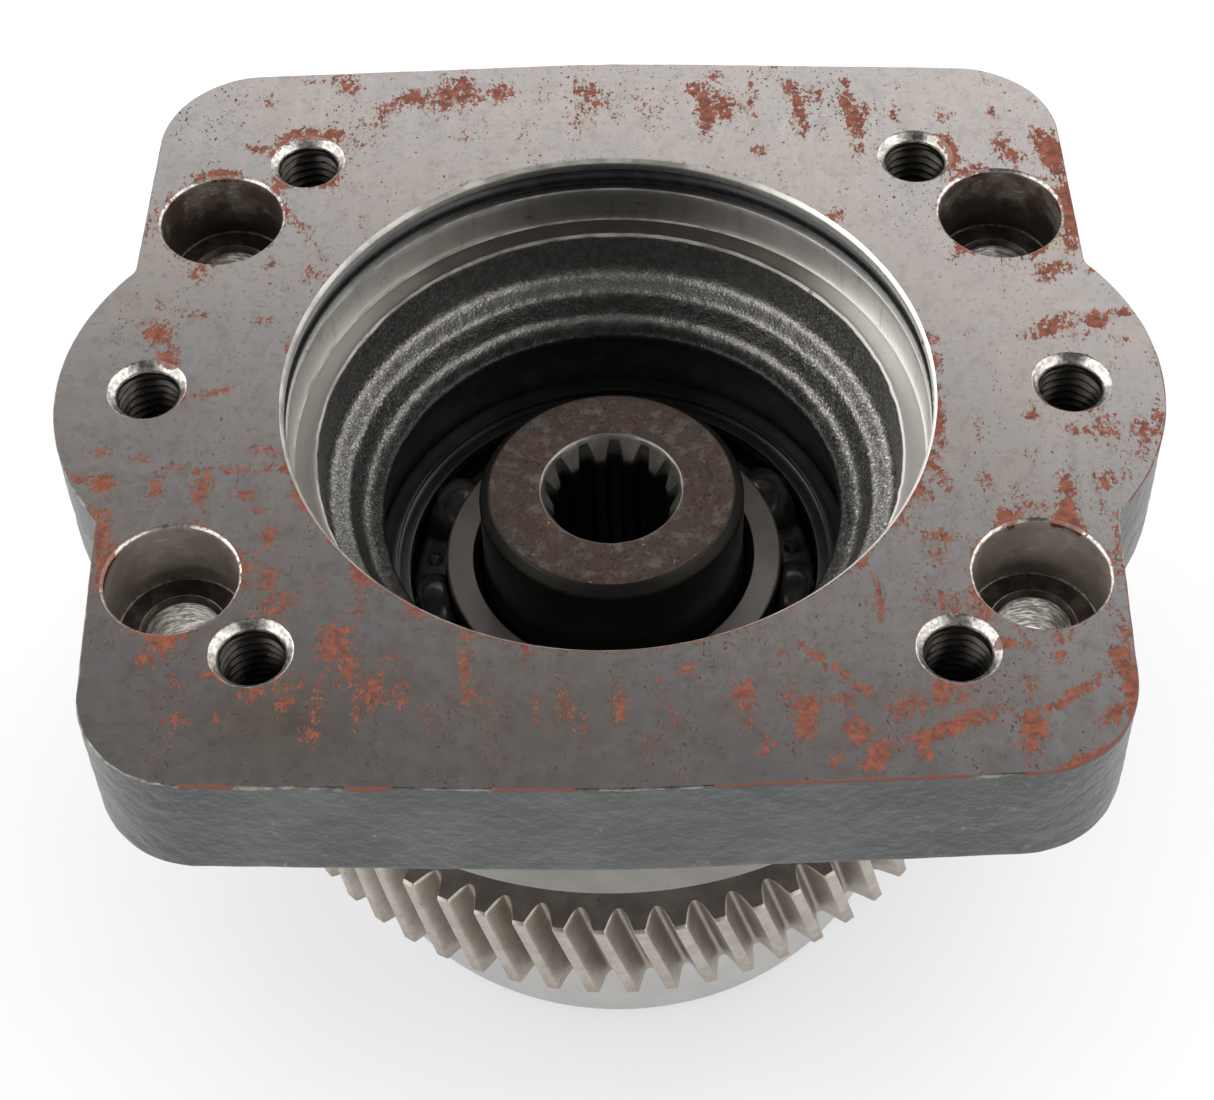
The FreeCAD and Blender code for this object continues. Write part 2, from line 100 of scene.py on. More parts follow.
def vnoise(p, size, seed=0):
    """Smooth value noise from -1 to 1 at points p, feature size in mm."""
    p = np.asarray(p, float)
    q = p / np.asarray(size, float)
    i = np.floor(q).astype(np.int64)
    f = q - i
    f = f * f * f * (f * (f * 6 - 15) + 10)
    out = 0.0
    for dx in (0, 1):
        wx = f[..., 0] if dx else 1 - f[..., 0]
        for dy in (0, 1):
            wy = f[..., 1] if dy else 1 - f[..., 1]
            for dz in (0, 1):
                wz = f[..., 2] if dz else 1 - f[..., 2]
                out = out + wx * wy * wz * _h(i[..., 0] + dx, i[..., 1] + dy,
                                              i[..., 2] + dz, seed)
    return out


def fnoise(p, size, octaves=3, seed=0, gain=0.5):
    out, amp, total = 0.0, 1.0, 0.0
    s = np.asarray(size, float)
    for k in range(octaves):
        out = out + amp * vnoise(p, s, seed + 17 * k)
        total += amp
        amp *= gain
        s = s / 2.03
    return out / total


class Geo:
    """Collects grids and triangles in millimetres and welds what meets."""

    def __init__(self):
        self.v, self.n, self.f, self.m = [], 0, [], []

    def add(self, pts):
        pts = np.asarray(pts, float).reshape(-1, 3)
        at = self.n
        self.v.append(pts)
        self.n += len(pts)
        return at

    def grid(self, P, mat, close_u=False, close_v=False):
        nu, nv = P.shape[:2]
        idx = np.arange(nu * nv).reshape(nu, nv) + self.add(P)
        if close_u:
            idx = np.concatenate([idx, idx[:1]], 0)
        if close_v:
            idx = np.concatenate([idx, idx[:, :1]], 1)
        q = np.stack([idx[:-1, :-1], idx[1:, :-1], idx[1:, 1:],
                      idx[:-1, 1:]], -1)
        m = np.broadcast_to(np.asarray(mat), q.shape[:2]).reshape(-1)
        self.f.append(q.reshape(-1, 4))
        self.m.append(m)

    def tris(self, pts, faces, mat):
        at = self.add(pts)
        f = np.asarray(faces, np.int64).reshape(-1, 3) + at
        self.f.append(np.concatenate([f, f[:, 2:3]], 1))
        self.m.append(np.full(len(f), mat))

    def build(self, name, weld=2e-4):
        v = np.concatenate(self.v)
        f = np.concatenate(self.f)
        m = np.concatenate(self.m)
        key = np.round(v / weld).astype(np.int64)
        _, first, inv = np.unique(key, axis=0, return_index=True,
                                  return_inverse=True)
        inv = inv.reshape(-1)
        v = v[first]
        f = inv[f]
        faces, mats = [], []
        for row, mm in zip(f.tolist(), m.tolist()):
            out = []
            for i in row:
                if i not in out:
                    out.append(i)
            if len(out) >= 3:
                faces.append(out)
                mats.append(mm)
        me = bpy.data.meshes.new(name)
        me.from_pydata((v * MM).tolist(), [], faces)
        me.polygons.foreach_set("material_index", np.asarray(mats, np.int32))
        me.update()
        return me


def split_materials(me, *which):
    """Keeps flat faces flat: their border with other materials is sharp."""
    nl = len(me.loops)
    le = np.zeros(nl, np.int32)
    me.loops.foreach_get("edge_index", le)
    tot = np.zeros(len(me.polygons), np.int32)
    me.polygons.foreach_get("loop_total", tot)
    pm = np.zeros(len(me.polygons), np.int32)
    me.polygons.foreach_get("material_index", pm)
    flag = np.isin(np.repeat(pm, tot), which).astype(np.int32)
    n_in = np.bincount(le, flag, len(me.edges))
    n_all = np.bincount(le, minlength=len(me.edges))
    a = me.attributes.get("sharp_edge") or me.attributes.new(
        "sharp_edge", "BOOLEAN", "EDGE")
    cur = np.zeros(len(me.edges), bool)
    a.data.foreach_get("value", cur)
    cur |= (n_in > 0) & (n_in < n_all)
    a.data.foreach_set("value", cur)
    me.update()


def finish_mesh(me, mats, sharp=32.0, recalc=True):
    for x in mats:
        me.materials.append(x)
    if recalc:
        bm = bmesh.new()
        bm.from_mesh(me)
        bmesh.ops.recalc_face_normals(bm, faces=bm.faces)
        loose = [v for v in bm.verts if not v.link_faces]
        if loose:
            bmesh.ops.delete(bm, geom=loose, context="VERTS")
        bm.to_mesh(me)
        bm.free()
    me.polygons.foreach_set("use_smooth", np.ones(len(me.polygons), bool))
    me.set_sharp_from_angle(angle=math.radians(sharp))
    me.update()
    return me


def put(name, me, body, slot, *nodes):
    ob = bpy.data.objects.new(name, me)
    bpy.context.scene.collection.objects.link(ob)
    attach(ob, body)
    if nodes:
        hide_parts(*nodes)
    return ob


def coords(me):
    co = np.zeros(len(me.vertices) * 3, np.float32)
    me.vertices.foreach_get("co", co)
    return co.reshape(-1, 3).astype(float) / MM


def set_attr(me, name, values):
    a = me.attributes.get(name) or me.attributes.new(name, "FLOAT", "POINT")
    a.data.foreach_set("value", np.asarray(values, np.float32))


def ring(n, phase=0.0):
    return np.arange(n) * (2 * PI / n) + phase


def rev_grid(prof, n, x=0.0, y=0.0, dr=None, phase=0.0):
    """Grid (n, len(prof), 3) of a turned surface; dr(theta, r, z) moves it."""
    prof = np.asarray(prof, float)
    t = ring(n, phase)[:, None]
    r = np.broadcast_to(prof[None, :, 0], (n, len(prof))).copy()
    z = np.broadcast_to(prof[None, :, 1], (n, len(prof))).copy()
    if dr is not None:
        ddr, ddz = dr(np.broadcast_to(t, r.shape), r, z)
        r, z = r + ddr, z + ddz
    return np.stack([x + r * np.cos(t), y + r * np.sin(t), z], -1)


def spaced(pts, step):
    """Adds points along a profile so that none are further apart than step."""
    out = [pts[0]]
    for a, b in zip(pts[:-1], pts[1:]):
        k = max(1, int(math.ceil(math.hypot(b[0] - a[0], b[1] - a[1]) / step)))
        for i in range(1, k + 1):
            out.append((a[0] + (b[0] - a[0]) * i / k,
                        a[1] + (b[1] - a[1]) * i / k))
    return out


def round_corner(a, p, b, r, n=3):
    """Points of a small round of radius r at corner p between a and b."""
    a, p, b = (np.asarray(q, float) for q in (a, p, b))
    u, w = a - p, b - p
    lu, lw = np.hypot(*u), np.hypot(*w)
    u, w = u / lu, w / lw
    half = math.acos(max(-1, min(1, float(u @ w)))) / 2
    t = min(r / math.tan(half), lu * 0.45, lw * 0.45)
    p0, p1 = p + u * t, p + w * t
    out = []
    for i in range(n + 1):
        k = i / n
        q = (1 - k) ** 2 * p0 + 2 * k * (1 - k) * p + k * k * p1
        out.append((float(q[0]), float(q[1])))
    return out


def rounded(pts, radii, n=3):
    """Profile with its inner corners rounded; radii is {index: radius}."""
    out = []
    for i, p in enumerate(pts):
        if i in radii and 0 < i < len(pts) - 1:
            out += round_corner(pts[i - 1], p, pts[i + 1], radii[i], n)
        else:
            out.append(tuple(p))
    return out


# ---------------------------------------------------------------------------
# node helpers
# ---------------------------------------------------------------------------
class Mat:
    def __init__(self, name):
        self.mat = bpy.data.materials.new(name)
        self.mat.use_nodes = True
        self.nt = self.mat.node_tree
        self.nt.nodes.clear()
        self.out = self.nt.nodes.new("ShaderNodeOutputMaterial")
        self.bsdf = self.nt.nodes.new("ShaderNodeBsdfPrincipled")
        self.nt.links.new(self.bsdf.outputs[0], self.out.inputs[0])
        self.tc = self.nt.nodes.new("ShaderNodeTexCoord").outputs["Object"]
        self._xyz = None

    def link(self, a, b):
        if isinstance(a, (int, float)):
            b.default_value = a
        elif isinstance(a, (tuple, list)):
            if b.type == "RGBA":
                b.default_value = tuple(a) + ((1.0,) if len(a) == 3 else ())
            else:
                b.default_value = tuple(a)
        else:
            self.nt.links.new(a, b)

    def math(self, op, a, b=None, c=None, clamp=False):
        n = self.nt.nodes.new("ShaderNodeMath")
        n.operation = op
        n.use_clamp = clamp
        self.link(a, n.inputs[0])
        if b is not None:
            self.link(b, n.inputs[1])
        if c is not None:
            self.link(c, n.inputs[2])
        return n.outputs[0]

    def xyz(self):
        if self._xyz is None:
            n = self.nt.nodes.new("ShaderNodeSeparateXYZ")
            self.link(self.tc, n.inputs[0])
            self._xyz = [n.outputs[0], n.outputs[1], n.outputs[2]]
        return self._xyz

    def vec(self, x, y, z):
        n = self.nt.nodes.new("ShaderNodeCombineXYZ")
        for i, q in enumerate((x, y, z)):
            self.link(q, n.inputs[i])
        return n.outputs[0]

    def stretch(self, sx, sy, sz):
        n = self.nt.nodes.new("ShaderNodeMapping")
        self.link(self.tc, n.inputs["Vector"])
        n.inputs["Scale"].default_value = (sx, sy, sz)
        return n.outputs[0]

    def noise(self, scale, detail=3.0, rough=0.5, vec=None, distort=0.0):
        n = self.nt.nodes.new("ShaderNodeTexNoise")
        self.link(self.tc if vec is None else vec, n.inputs["Vector"])
        n.inputs["Scale"].default_value = scale
        n.inputs["Detail"].default_value = detail
        n.inputs["Roughness"].default_value = rough
        n.inputs["Distortion"].default_value = distort
        return n.outputs["Fac"]

    def voronoi(self, scale, vec=None, feature="F1", rand=1.0):
        n = self.nt.nodes.new("ShaderNodeTexVoronoi")
        n.feature = feature
        self.link(self.tc if vec is None else vec, n.inputs["Vector"])
        n.inputs["Scale"].default_value = scale
        n.inputs["Randomness"].default_value = rand
        return n.outputs["Distance"]

    def ramp(self, fac, *stops, ease=False):
        n = self.nt.nodes.new("ShaderNodeValToRGB")
        n.color_ramp.interpolation = "EASE" if ease else "LINEAR"
        cr = n.color_ramp
        while len(cr.elements) > 1:
            cr.elements.remove(cr.elements[-1])
        for i, (pos, col) in enumerate(stops):
            e = cr.elements[0] if i == 0 else cr.elements.new(pos)
            e.position = pos
            if isinstance(col, (int, float)):
                col = (col, col, col)
            e.color = tuple(col) + (1.0,)
        self.link(fac, n.inputs[0])
        return n.outputs[0]

    def step(self, fac, lo, hi):
        """0 below lo, 1 above hi, smooth between."""
        n = self.nt.nodes.new("ShaderNodeMapRange")
        n.interpolation_type = "SMOOTHSTEP"
        self.link(fac, n.inputs["Value"])
        a, b, t0, t1 = (lo, hi, 0.0, 1.0) if lo < hi else (hi, lo, 1.0, 0.0)
        n.inputs["From Min"].default_value = a
        n.inputs["From Max"].default_value = b
        n.inputs["To Min"].default_value = t0
        n.inputs["To Max"].default_value = t1
        return n.outputs[0]

    def mix(self, fac, a, b, blend="MIX"):
        n = self.nt.nodes.new("ShaderNodeMix")
        n.data_type = "RGBA"
        n.blend_type = blend
        self.link(fac, n.inputs[0])
        self.link(a, n.inputs[6])
        self.link(b, n.inputs[7])
        return n.outputs[2]

    def lerp(self, fac, a, b):
        n = self.nt.nodes.new("ShaderNodeMix")
        n.data_type = "FLOAT"
        self.link(fac, n.inputs[0])
        self.link(a, n.inputs[2])
        self.link(b, n.inputs[3])
        return n.outputs[0]

    def attr(self, name):
        n = self.nt.nodes.new("ShaderNodeAttribute")
        n.attribute_type = "GEOMETRY"
        n.attribute_name = name
        return n.outputs["Fac"]

    def bump(self, height, strength, dist, normal=None):
        n = self.nt.nodes.new("ShaderNodeBump")
        n.inputs["Strength"].default_value = strength
        n.inputs["Distance"].default_value = dist
        self.link(height, n.inputs["Height"])
        if normal is not None:
            self.link(normal, n.inputs["Normal"])
        return n.outputs[0]

    def radius(self):
        x, y, _ = self.xyz()
        return self.math("SQRT", self.math(
            "ADD", self.math("MULTIPLY", x, x), self.math("MULTIPLY", y, y)))

    def dist_to(self, cx, cy, fold=True):
        """Distance in the XY plane to a point, folded into one quadrant."""
        x, y, _ = self.xyz()
        if fold:
            x, y = self.math("ABSOLUTE", x), self.math("ABSOLUTE", y)
        dx = self.math("SUBTRACT", x, cx)
        dy = self.math("SUBTRACT", y, cy)
        return self.math("SQRT", self.math(
            "ADD", self.math("MULTIPLY", dx, dx), self.math("MULTIPLY", dy, dy)))

    def turned(self, fine, along=2.0):
        """Noise coordinates for turning marks: fine across the cut, in 1/m."""
        x, y, z = self.xyz()
        r = self.radius()
        ang = self.math("ARCTAN2", y, x)
        return self.vec(self.math("MULTIPLY", r, fine),
                        self.math("MULTIPLY", z, fine),
                        self.math("MULTIPLY", ang, along))

    def grooves(self, amount):
        """Stretches highlights across turning marks about the Z axis."""
        t = self.nt.nodes.new("ShaderNodeTangent")
        t.direction_type = "RADIAL"
        t.axis = "Z"
        self.link(t.outputs[0], self.bsdf.inputs["Tangent"])
        self.bsdf.inputs["Anisotropic"].default_value = amount
        self.bsdf.inputs["Anisotropic Rotation"].default_value = 0.25

    def set(self, **kw):
        names = {"color": "Base Color", "metallic": "Metallic",
                 "rough": "Roughness", "normal": "Normal", "ior": "IOR",
                 "coat": "Coat Weight", "coat_rough": "Coat Roughness",
                 "spec": "Specular IOR Level", "aniso": "Anisotropic"}
        for k, v in kw.items():
            self.link(v, self.bsdf.inputs[names[k]])
        return self.mat


def srgb(r, g, b):
    def f(c):
        c /= 255.0
        return c / 12.92 if c <= 0.04045 else ((c + 0.055) / 1.055) ** 2.4
    return (f(r), f(g), f(b))


RUST = srgb(98, 54, 42)
RUST_DEEP = srgb(64, 36, 30)
RUST_BRIGHT = srgb(130, 70, 44)


# ---------------------------------------------------------------------------
# materials
# ---------------------------------------------------------------------------
def mat_face():
    """Milled pump face with light rust."""
    m = Mat("milled_face")
    x, y, z = m.xyz()
    cloud = m.noise(28, 4, 0.55)
    cloud2 = m.noise(90, 4, 0.6)
    base = m.mix(m.step(cloud, 0.38, 0.64), (0.545, 0.502, 0.478),
                 (0.505, 0.490, 0.492))
    base = m.mix(m.math("MULTIPLY", m.step(cloud2, 0.50, 0.72), 0.38), base,
                 (0.50, 0.425, 0.375))
    # faint wiping marks
    wipe = m.noise(1.0, 3, 0.6, m.stretch(240, 22, 1))
    base = m.mix(m.math("MULTIPLY", m.step(wipe, 0.52, 0.72), 0.16), base,
                 (0.70, 0.67, 0.65))
    base = m.mix(m.math("MULTIPLY", m.attr("stain"), 0.75), base,
                 (0.40, 0.330, 0.27))
    # mill lines
    lines = m.noise(1.0, 2.0, 0.6, m.stretch(2600, 14, 1))
    lines2 = m.noise(1.0, 2.0, 0.5, m.stretch(620, 10, 1))
    # tiny dark pits
    mott = m.noise(1.0, 4, 0.62, m.stretch(330, 260, 1))
    base = m.mix(m.math("MULTIPLY", m.step(mott, 0.50, 0.66), 0.30), base,
                 (0.33, 0.30, 0.29))
    base = m.mix(m.math("MULTIPLY", m.step(m.noise(700, 3, 0.6), 0.56, 0.72),
                        0.40), base, (0.30, 0.245, 0.22))
    # rust
    dens = m.attr("rust")
    jag = m.noise(1.0, 5, 0.68, m.stretch(820, 500, 1), 0.0)
    fine = m.noise(1.0, 3, 0.7, m.stretch(1700, 1150, 1))
    val = m.math("ADD", m.math("MULTIPLY", jag, 1.35),
                 m.math("MULTIPLY", fine, 0.75))
    val = m.math("ADD", val, m.math("MULTIPLY", dens, 0.56))
    val = m.math("SUBTRACT", val, m.math("MULTIPLY", m.step(
        y, -0.045, 0.010), 0.035))
    patch = m.step(val, 1.350, 1.400)
    halo = m.step(val, 1.24, 1.38)
    # scattered freckles everywhere, in upright bands
    band = m.noise(1.0, 3, 0.6, m.stretch(150, 30, 1))
    freck = m.noise(1.0, 3, 0.6, m.stretch(1300, 820, 1))
    lean = m.math("MULTIPLY", m.step(m.math("ABSOLUTE", m.math(
        "ADD", y, -0.008)), 0.050, 0.075), 0.035)
    freckm = m.math("MULTIPLY", m.step(m.math("ADD", m.math(
        "ADD", freck, lean), m.math("MULTIPLY", m.step(
            band, 0.42, 0.66), 0.085)), 0.700, 0.740), 0.80)
    rustm = m.math("MAXIMUM", patch, freckm)
    rcol = m.mix(m.step(m.noise(520, 4, 0.68), 0.36, 0.64), RUST_DEEP,
                 RUST_BRIGHT)
    rcol = m.mix(0.40, rcol, RUST)
    rcol = m.mix(patch, RUST_DEEP, rcol)
    col = m.mix(m.math("MULTIPLY", halo, 0.38), base, (0.36, 0.245, 0.195))
    early = m.step(rustm, 0.02, 0.50)
    late = m.step(rustm, 0.60, 0.95)
    col = m.mix(early, col, rcol)
    metal = m.math("SUBTRACT", 0.985, m.math("MULTIPLY", early, 0.80))
    rough = m.math("ADD", 0.195, m.math("MULTIPLY", m.noise(230, 4, 0.6), 0.10))
    rough = m.math("ADD", rough, m.math("MULTIPLY", late, 0.34))
    h = m.math("ADD", m.math("MULTIPLY", lines, 0.55),
               m.math("MULTIPLY", lines2, 0.8))
    n = m.bump(h, 0.12, 0.00005)
    n = m.bump(m.noise(1900, 2, 0.6), 0.12, 0.00004, n)
    n = m.bump(m.math("MULTIPLY", late, m.noise(1700, 2, 0.6)), 0.15, 0.00005, n)
    return m.set(color=col, metallic=metal, rough=rough, normal=n)


def mat_paint():
    """Dark slate paint over as-cast iron, with a bare, rusty top edge."""
    m = Mat("casting_paint")
    x, y, z = m.xyz()
    big = m.noise(60, 4, 0.6)
    mid = m.noise(330, 4, 0.6)
    col = m.mix(m.step(big, 0.35, 0.68), (0.030, 0.034, 0.034),
                (0.047, 0.051, 0.049))
    col = m.mix(m.math("MULTIPLY", m.step(mid, 0.55, 0.75), 0.35), col,
                (0.085, 0.090, 0.083))
    # brown dust in the hollows and specks
    speck = m.math("MULTIPLY", m.step(m.noise(900, 2, 0.6), 0.70, 0.74),
                   m.step(m.noise(70, 3, 0.5), 0.48, 0.60))
    col = m.mix(m.math("MULTIPLY", speck, 0.8), col, RUST)
    dusty = m.math("MULTIPLY", m.step(m.noise(520, 3, 0.65), 0.63, 0.76), 0.30)
    col = m.mix(dusty, col, (0.30, 0.28, 0.24))
    # worn upper edge: wavy line where the paint ends
    wob = m.noise(210, 5, 0.7)
    depth = m.math("SUBTRACT", 0.0, z)                     # metres below face
    line = m.math("SUBTRACT", depth, m.math(
        "MULTIPLY", m.math("SUBTRACT", wob, 0.28), 0.0026))
    line = m.math("SUBTRACT", line, m.math(
        "MULTIPLY", m.attr("wear"), 0.0011))
    bare = m.step(line, 0.00005, -0.00012)
    er = m.math("ADD", m.attr("edge_rust"), m.math(
        "MULTIPLY", m.math("SUBTRACT", m.noise(300, 4, 0.6), 0.5), 1.5))
    rusty = m.step(er, 0.42, 0.60)
    edgec = m.mix(rusty, m.mix(m.step(m.noise(240, 4, 0.7), 0.42, 0.60),
                              (0.10, 0.092, 0.080), (0.26, 0.245, 0.225)), RUST)
    col = m.mix(bare, col, edgec)
    metal = m.math("MULTIPLY", bare, m.math(
        "MULTIPLY", m.math("SUBTRACT", 1.0, rusty), 0.9))
    rough = m.math("ADD", 0.27, m.math("MULTIPLY", m.noise(150, 4, 0.6), 0.16))
    rough = m.math("ADD", rough, m.math("MULTIPLY", m.math(
        "MULTIPLY", bare, rusty), 0.4))
    h = m.noise(1.0, 2, 0.55, m.stretch(400, 400, 430))
    n = m.bump(h, 0.80, 0.00060)
    n = m.bump(m.noise(1500, 3, 0.6), 0.35, 0.00010, n)
    n = m.bump(m.math("MULTIPLY", bare, -1.0), 0.5, 0.00010, n)
    return m.set(color=col, metallic=metal, rough=rough, normal=n)


def mat_bore():
    """Fine-turned bore, land, shelf and chamfers."""
    m = Mat("turned_bore")
    tv = m.turned(1.0, 0.0006)
    fine = m.noise(5200, 2, 0.6, tv)
    wide = m.noise(1400, 3, 0.6, tv)
    cloud = m.noise(75, 4, 0.6)
    base = m.mix(m.step(cloud, 0.35, 0.66), (0.56, 0.55, 0.53),
                 (0.49, 0.47, 0.43))
    base = m.mix(m.math("MULTIPLY", m.step(wide, 0.50, 0.70), 0.25), base,
                 (0.34, 0.32, 0.285))
    x, y, _ = m.xyz()
    # painted highlight: the bore walls on the right, and less on the left, are
    # lightened towards near white
    lit = m.math("MAXIMUM", m.step(x, 0.030, 0.060), m.math(
        "MULTIPLY", m.step(x, -0.030, -0.058), 0.65))
    base = m.mix(m.math("MULTIPLY", lit, 0.85), base, (0.93, 0.92, 0.89))
    streak = m.noise(1.0, 3, 0.65, m.stretch(420, 420, 40))
    base = m.mix(m.math("MULTIPLY", m.step(streak, 0.52, 0.70), 0.30), base,
                 (0.24, 0.20, 0.16))
    brown = m.math("MULTIPLY", m.step(m.noise(260, 4, 0.7), 0.62, 0.74), 0.70)
    base = m.mix(brown, base, (0.17, 0.115, 0.08))
    rust = m.step(m.math("ADD", m.attr("rust"), m.math(
        "MULTIPLY", m.math("SUBTRACT", m.noise(650, 5, 0.65), 0.5), 1.7)),
        0.62, 0.70)
    col = m.mix(rust, base, RUST)
    metal = m.math("SUBTRACT", 1.0, m.math("MULTIPLY", rust, 0.95))
    rough = m.math("ADD", 0.27, m.math("MULTIPLY", m.noise(300, 3, 0.6), 0.12))
    rough = m.math("ADD", rough, m.math("MULTIPLY", rust, 0.45))
    n = m.bump(fine, 0.22, 0.00005)
    n = m.bump(wide, 0.12, 0.00010, n)
    m.grooves(0.85)
    return m.set(color=col, metallic=metal, rough=rough, normal=n)


def mat_shelf():
    """Matt grey machined shelf above the cast cup."""
    m = Mat("turned_shelf")
    tv = m.turned(1.0, 0.0006)
    fine = m.noise(3600, 3, 0.6, tv)
    cloud = m.noise(85, 4, 0.65)
    base = m.mix(m.step(cloud, 0.34, 0.68), (0.135, 0.124, 0.110),
                 (0.098, 0.091, 0.083))
    x, y, _ = m.xyz()
    # painted light: the shelf is lightened on the right and, less, on the left
    lit = m.math("MAXIMUM", m.step(x, 0.034, 0.058), m.math(
        "MULTIPLY", m.step(x, -0.034, -0.058), 0.45))
    base = m.mix(m.math("MULTIPLY", lit, 0.85), base, (0.62, 0.60, 0.57))
    brown = m.math("MULTIPLY", m.step(m.noise(210, 5, 0.7), 0.62, 0.74), 0.6)
    base = m.mix(brown, base, (0.15, 0.105, 0.075))
    rough = m.math("ADD", 0.38, m.math("MULTIPLY", m.noise(300, 3, 0.6), 0.14))
    n = m.bump(fine, 0.35, 0.00007)
    n = m.bump(m.noise(1600, 2, 0.6), 0.25, 0.00005, n)
    return m.set(color=base, metallic=0.92, rough=rough, normal=n)


def mat_cast():
    """Shot-blasted, oily cast iron of the cup: dark and grainy, with painted glints, a
    painted highlight on its crests and painted shade.
    """
    m = Mat("cast_cup")
    grain = m.voronoi(1700)
    grain2 = m.noise(2300, 3, 0.65)
    coarse = m.noise(520, 4, 0.6)
    base = m.mix(m.step(coarse, 0.34, 0.70), (0.125, 0.122, 0.115),
                 (0.190, 0.184, 0.174))
    base = m.mix(m.math("MULTIPLY", m.step(grain2, 0.55, 0.72), 0.55), base,
                 (0.38, 0.37, 0.355))
    base = m.mix(m.math("MULTIPLY", m.step(grain2, 0.46, 0.30), 0.65), base,
                 (0.045, 0.044, 0.043))
    brown = m.math("MULTIPLY", m.step(m.noise(330, 4, 0.7), 0.66, 0.76), 0.5)
    base = m.mix(brown, base, (0.16, 0.10, 0.065))
    # the crests are painted brighter as a painted highlight, and the hollow between
    # them is painted dark as painted shade
    _, _, z = m.xyz()
    zz = m.math("ADD", z, m.math("MULTIPLY", m.math(
        "SUBTRACT", m.noise(240, 3, 0.6), 0.5), 0.0010))
    crest_painted_highlight = m.math("MAXIMUM", m.math(
        "MULTIPLY", m.step(zz, -0.0268, -0.0276), m.step(zz, -0.0297, -0.0286)),
        m.math("MULTIPLY", m.math("MULTIPLY", m.step(zz, -0.0334, -0.0341),
               m.step(zz, -0.0351, -0.0345)), 0.55))
    cx, cy, _ = m.xyz()
    # side marks the left and right walls of the cup: there the painted crest highlight
    # and hollow shade are weaker, and painted glints and dark specks go
    side = m.step(m.math("ABSOLUTE", cx), 0.026, 0.048)
    # front marks the near left part of the cup, painted darker as shade below
    front_painted_shade = m.math("MULTIPLY", m.step(cy, -0.004, -0.030),
                   m.step(cx, 0.000, -0.030))
    crest_painted_highlight = m.math("MULTIPLY", crest_painted_highlight, m.math(
        "SUBTRACT", 1.0, m.math("MULTIPLY", side, 0.45)))
    hollow_painted_shade = m.math("MULTIPLY", m.step(zz, -0.0288, -0.0300),
                    m.step(zz, -0.0342, -0.0334))
    hollow_painted_shade = m.math("MULTIPLY", hollow_painted_shade, m.math(
        "SUBTRACT", 1.0, m.math("MULTIPLY", side, 0.70)))
    base = m.mix(m.math("MULTIPLY", hollow_painted_shade, 0.60), base, (0.040, 0.038, 0.036))
    # painted glints and painted dark specks on the left and right walls
    grit_painted_glints = m.math("MULTIPLY", side, m.step(m.noise(2000, 3, 0.65), 0.52, 0.60))
    base = m.mix(m.math("MULTIPLY", grit_painted_glints, 0.62), base, (0.70, 0.69, 0.67))
    side_painted_dark_specks = m.math("MULTIPLY", side, m.step(m.noise(1500, 3, 0.65), 0.49, 0.40))
    base = m.mix(m.math("MULTIPLY", side_painted_dark_specks, 0.60), base, (0.030, 0.029, 0.028))
    # painted shade: the left wall of the cup is darker
    base = m.mix(m.math("MULTIPLY", m.step(cx, -0.020, -0.050), 0.42), base,
                 (0.050, 0.048, 0.046))
    # painted shade: the near left part of the cup is darker still
    base = m.mix(m.math("MULTIPLY", front_painted_shade, 0.80), base, (0.030, 0.029, 0.028))
    # painted shade: the bottom of the cup, below the second crest, is near black
    low = m.step(zz, -0.0345, -0.0355)
    base = m.mix(m.math("MULTIPLY", low, 0.85), base, (0.020, 0.019, 0.018))
    # painted glints: noise breaks the painted crest highlight into glinting specks
    painted_glint = m.math("ADD", 0.30, m.math("MULTIPLY", m.step(
        m.noise(2100, 3, 0.6), 0.42, 0.66), 0.70))
    base = m.mix(m.math("MULTIPLY", m.math("MULTIPLY", crest_painted_highlight, painted_glint), 0.62),
                 base, (0.50, 0.49, 0.47))
    rough = m.math("ADD", 0.25, m.math("MULTIPLY", m.noise(900, 3, 0.6), 0.20))
    h = m.math("ADD", m.math("MULTIPLY", grain, 0.7),
               m.math("MULTIPLY", grain2, 0.9))
    n = m.bump(coarse, 0.55, 0.00036)
    n = m.bump(h, 0.60, 0.00017, n)
    return m.set(color=base, metallic=0.90, rough=rough, normal=n)


def mat_inner():
    """Smooth, oily bore that holds the upper bearing; its near-black colour is painted
    shade for the depth of the housing.
    """
    m = Mat("deep_bore_painted_dark")
    tv = m.turned(1.0, 0.0006)
    fine = m.noise(2600, 3, 0.6, tv)
    base = m.mix(m.step(m.noise(120, 4, 0.6), 0.4, 0.7), (0.060, 0.060, 0.060),
                 (0.105, 0.103, 0.100))
    rough = m.math("ADD", 0.30, m.math("MULTIPLY", m.noise(240, 3, 0.6), 0.16))
    n = m.bump(fine, 0.3, 0.00008)
    return m.set(color=base, metallic=0.9, rough=rough, normal=n)


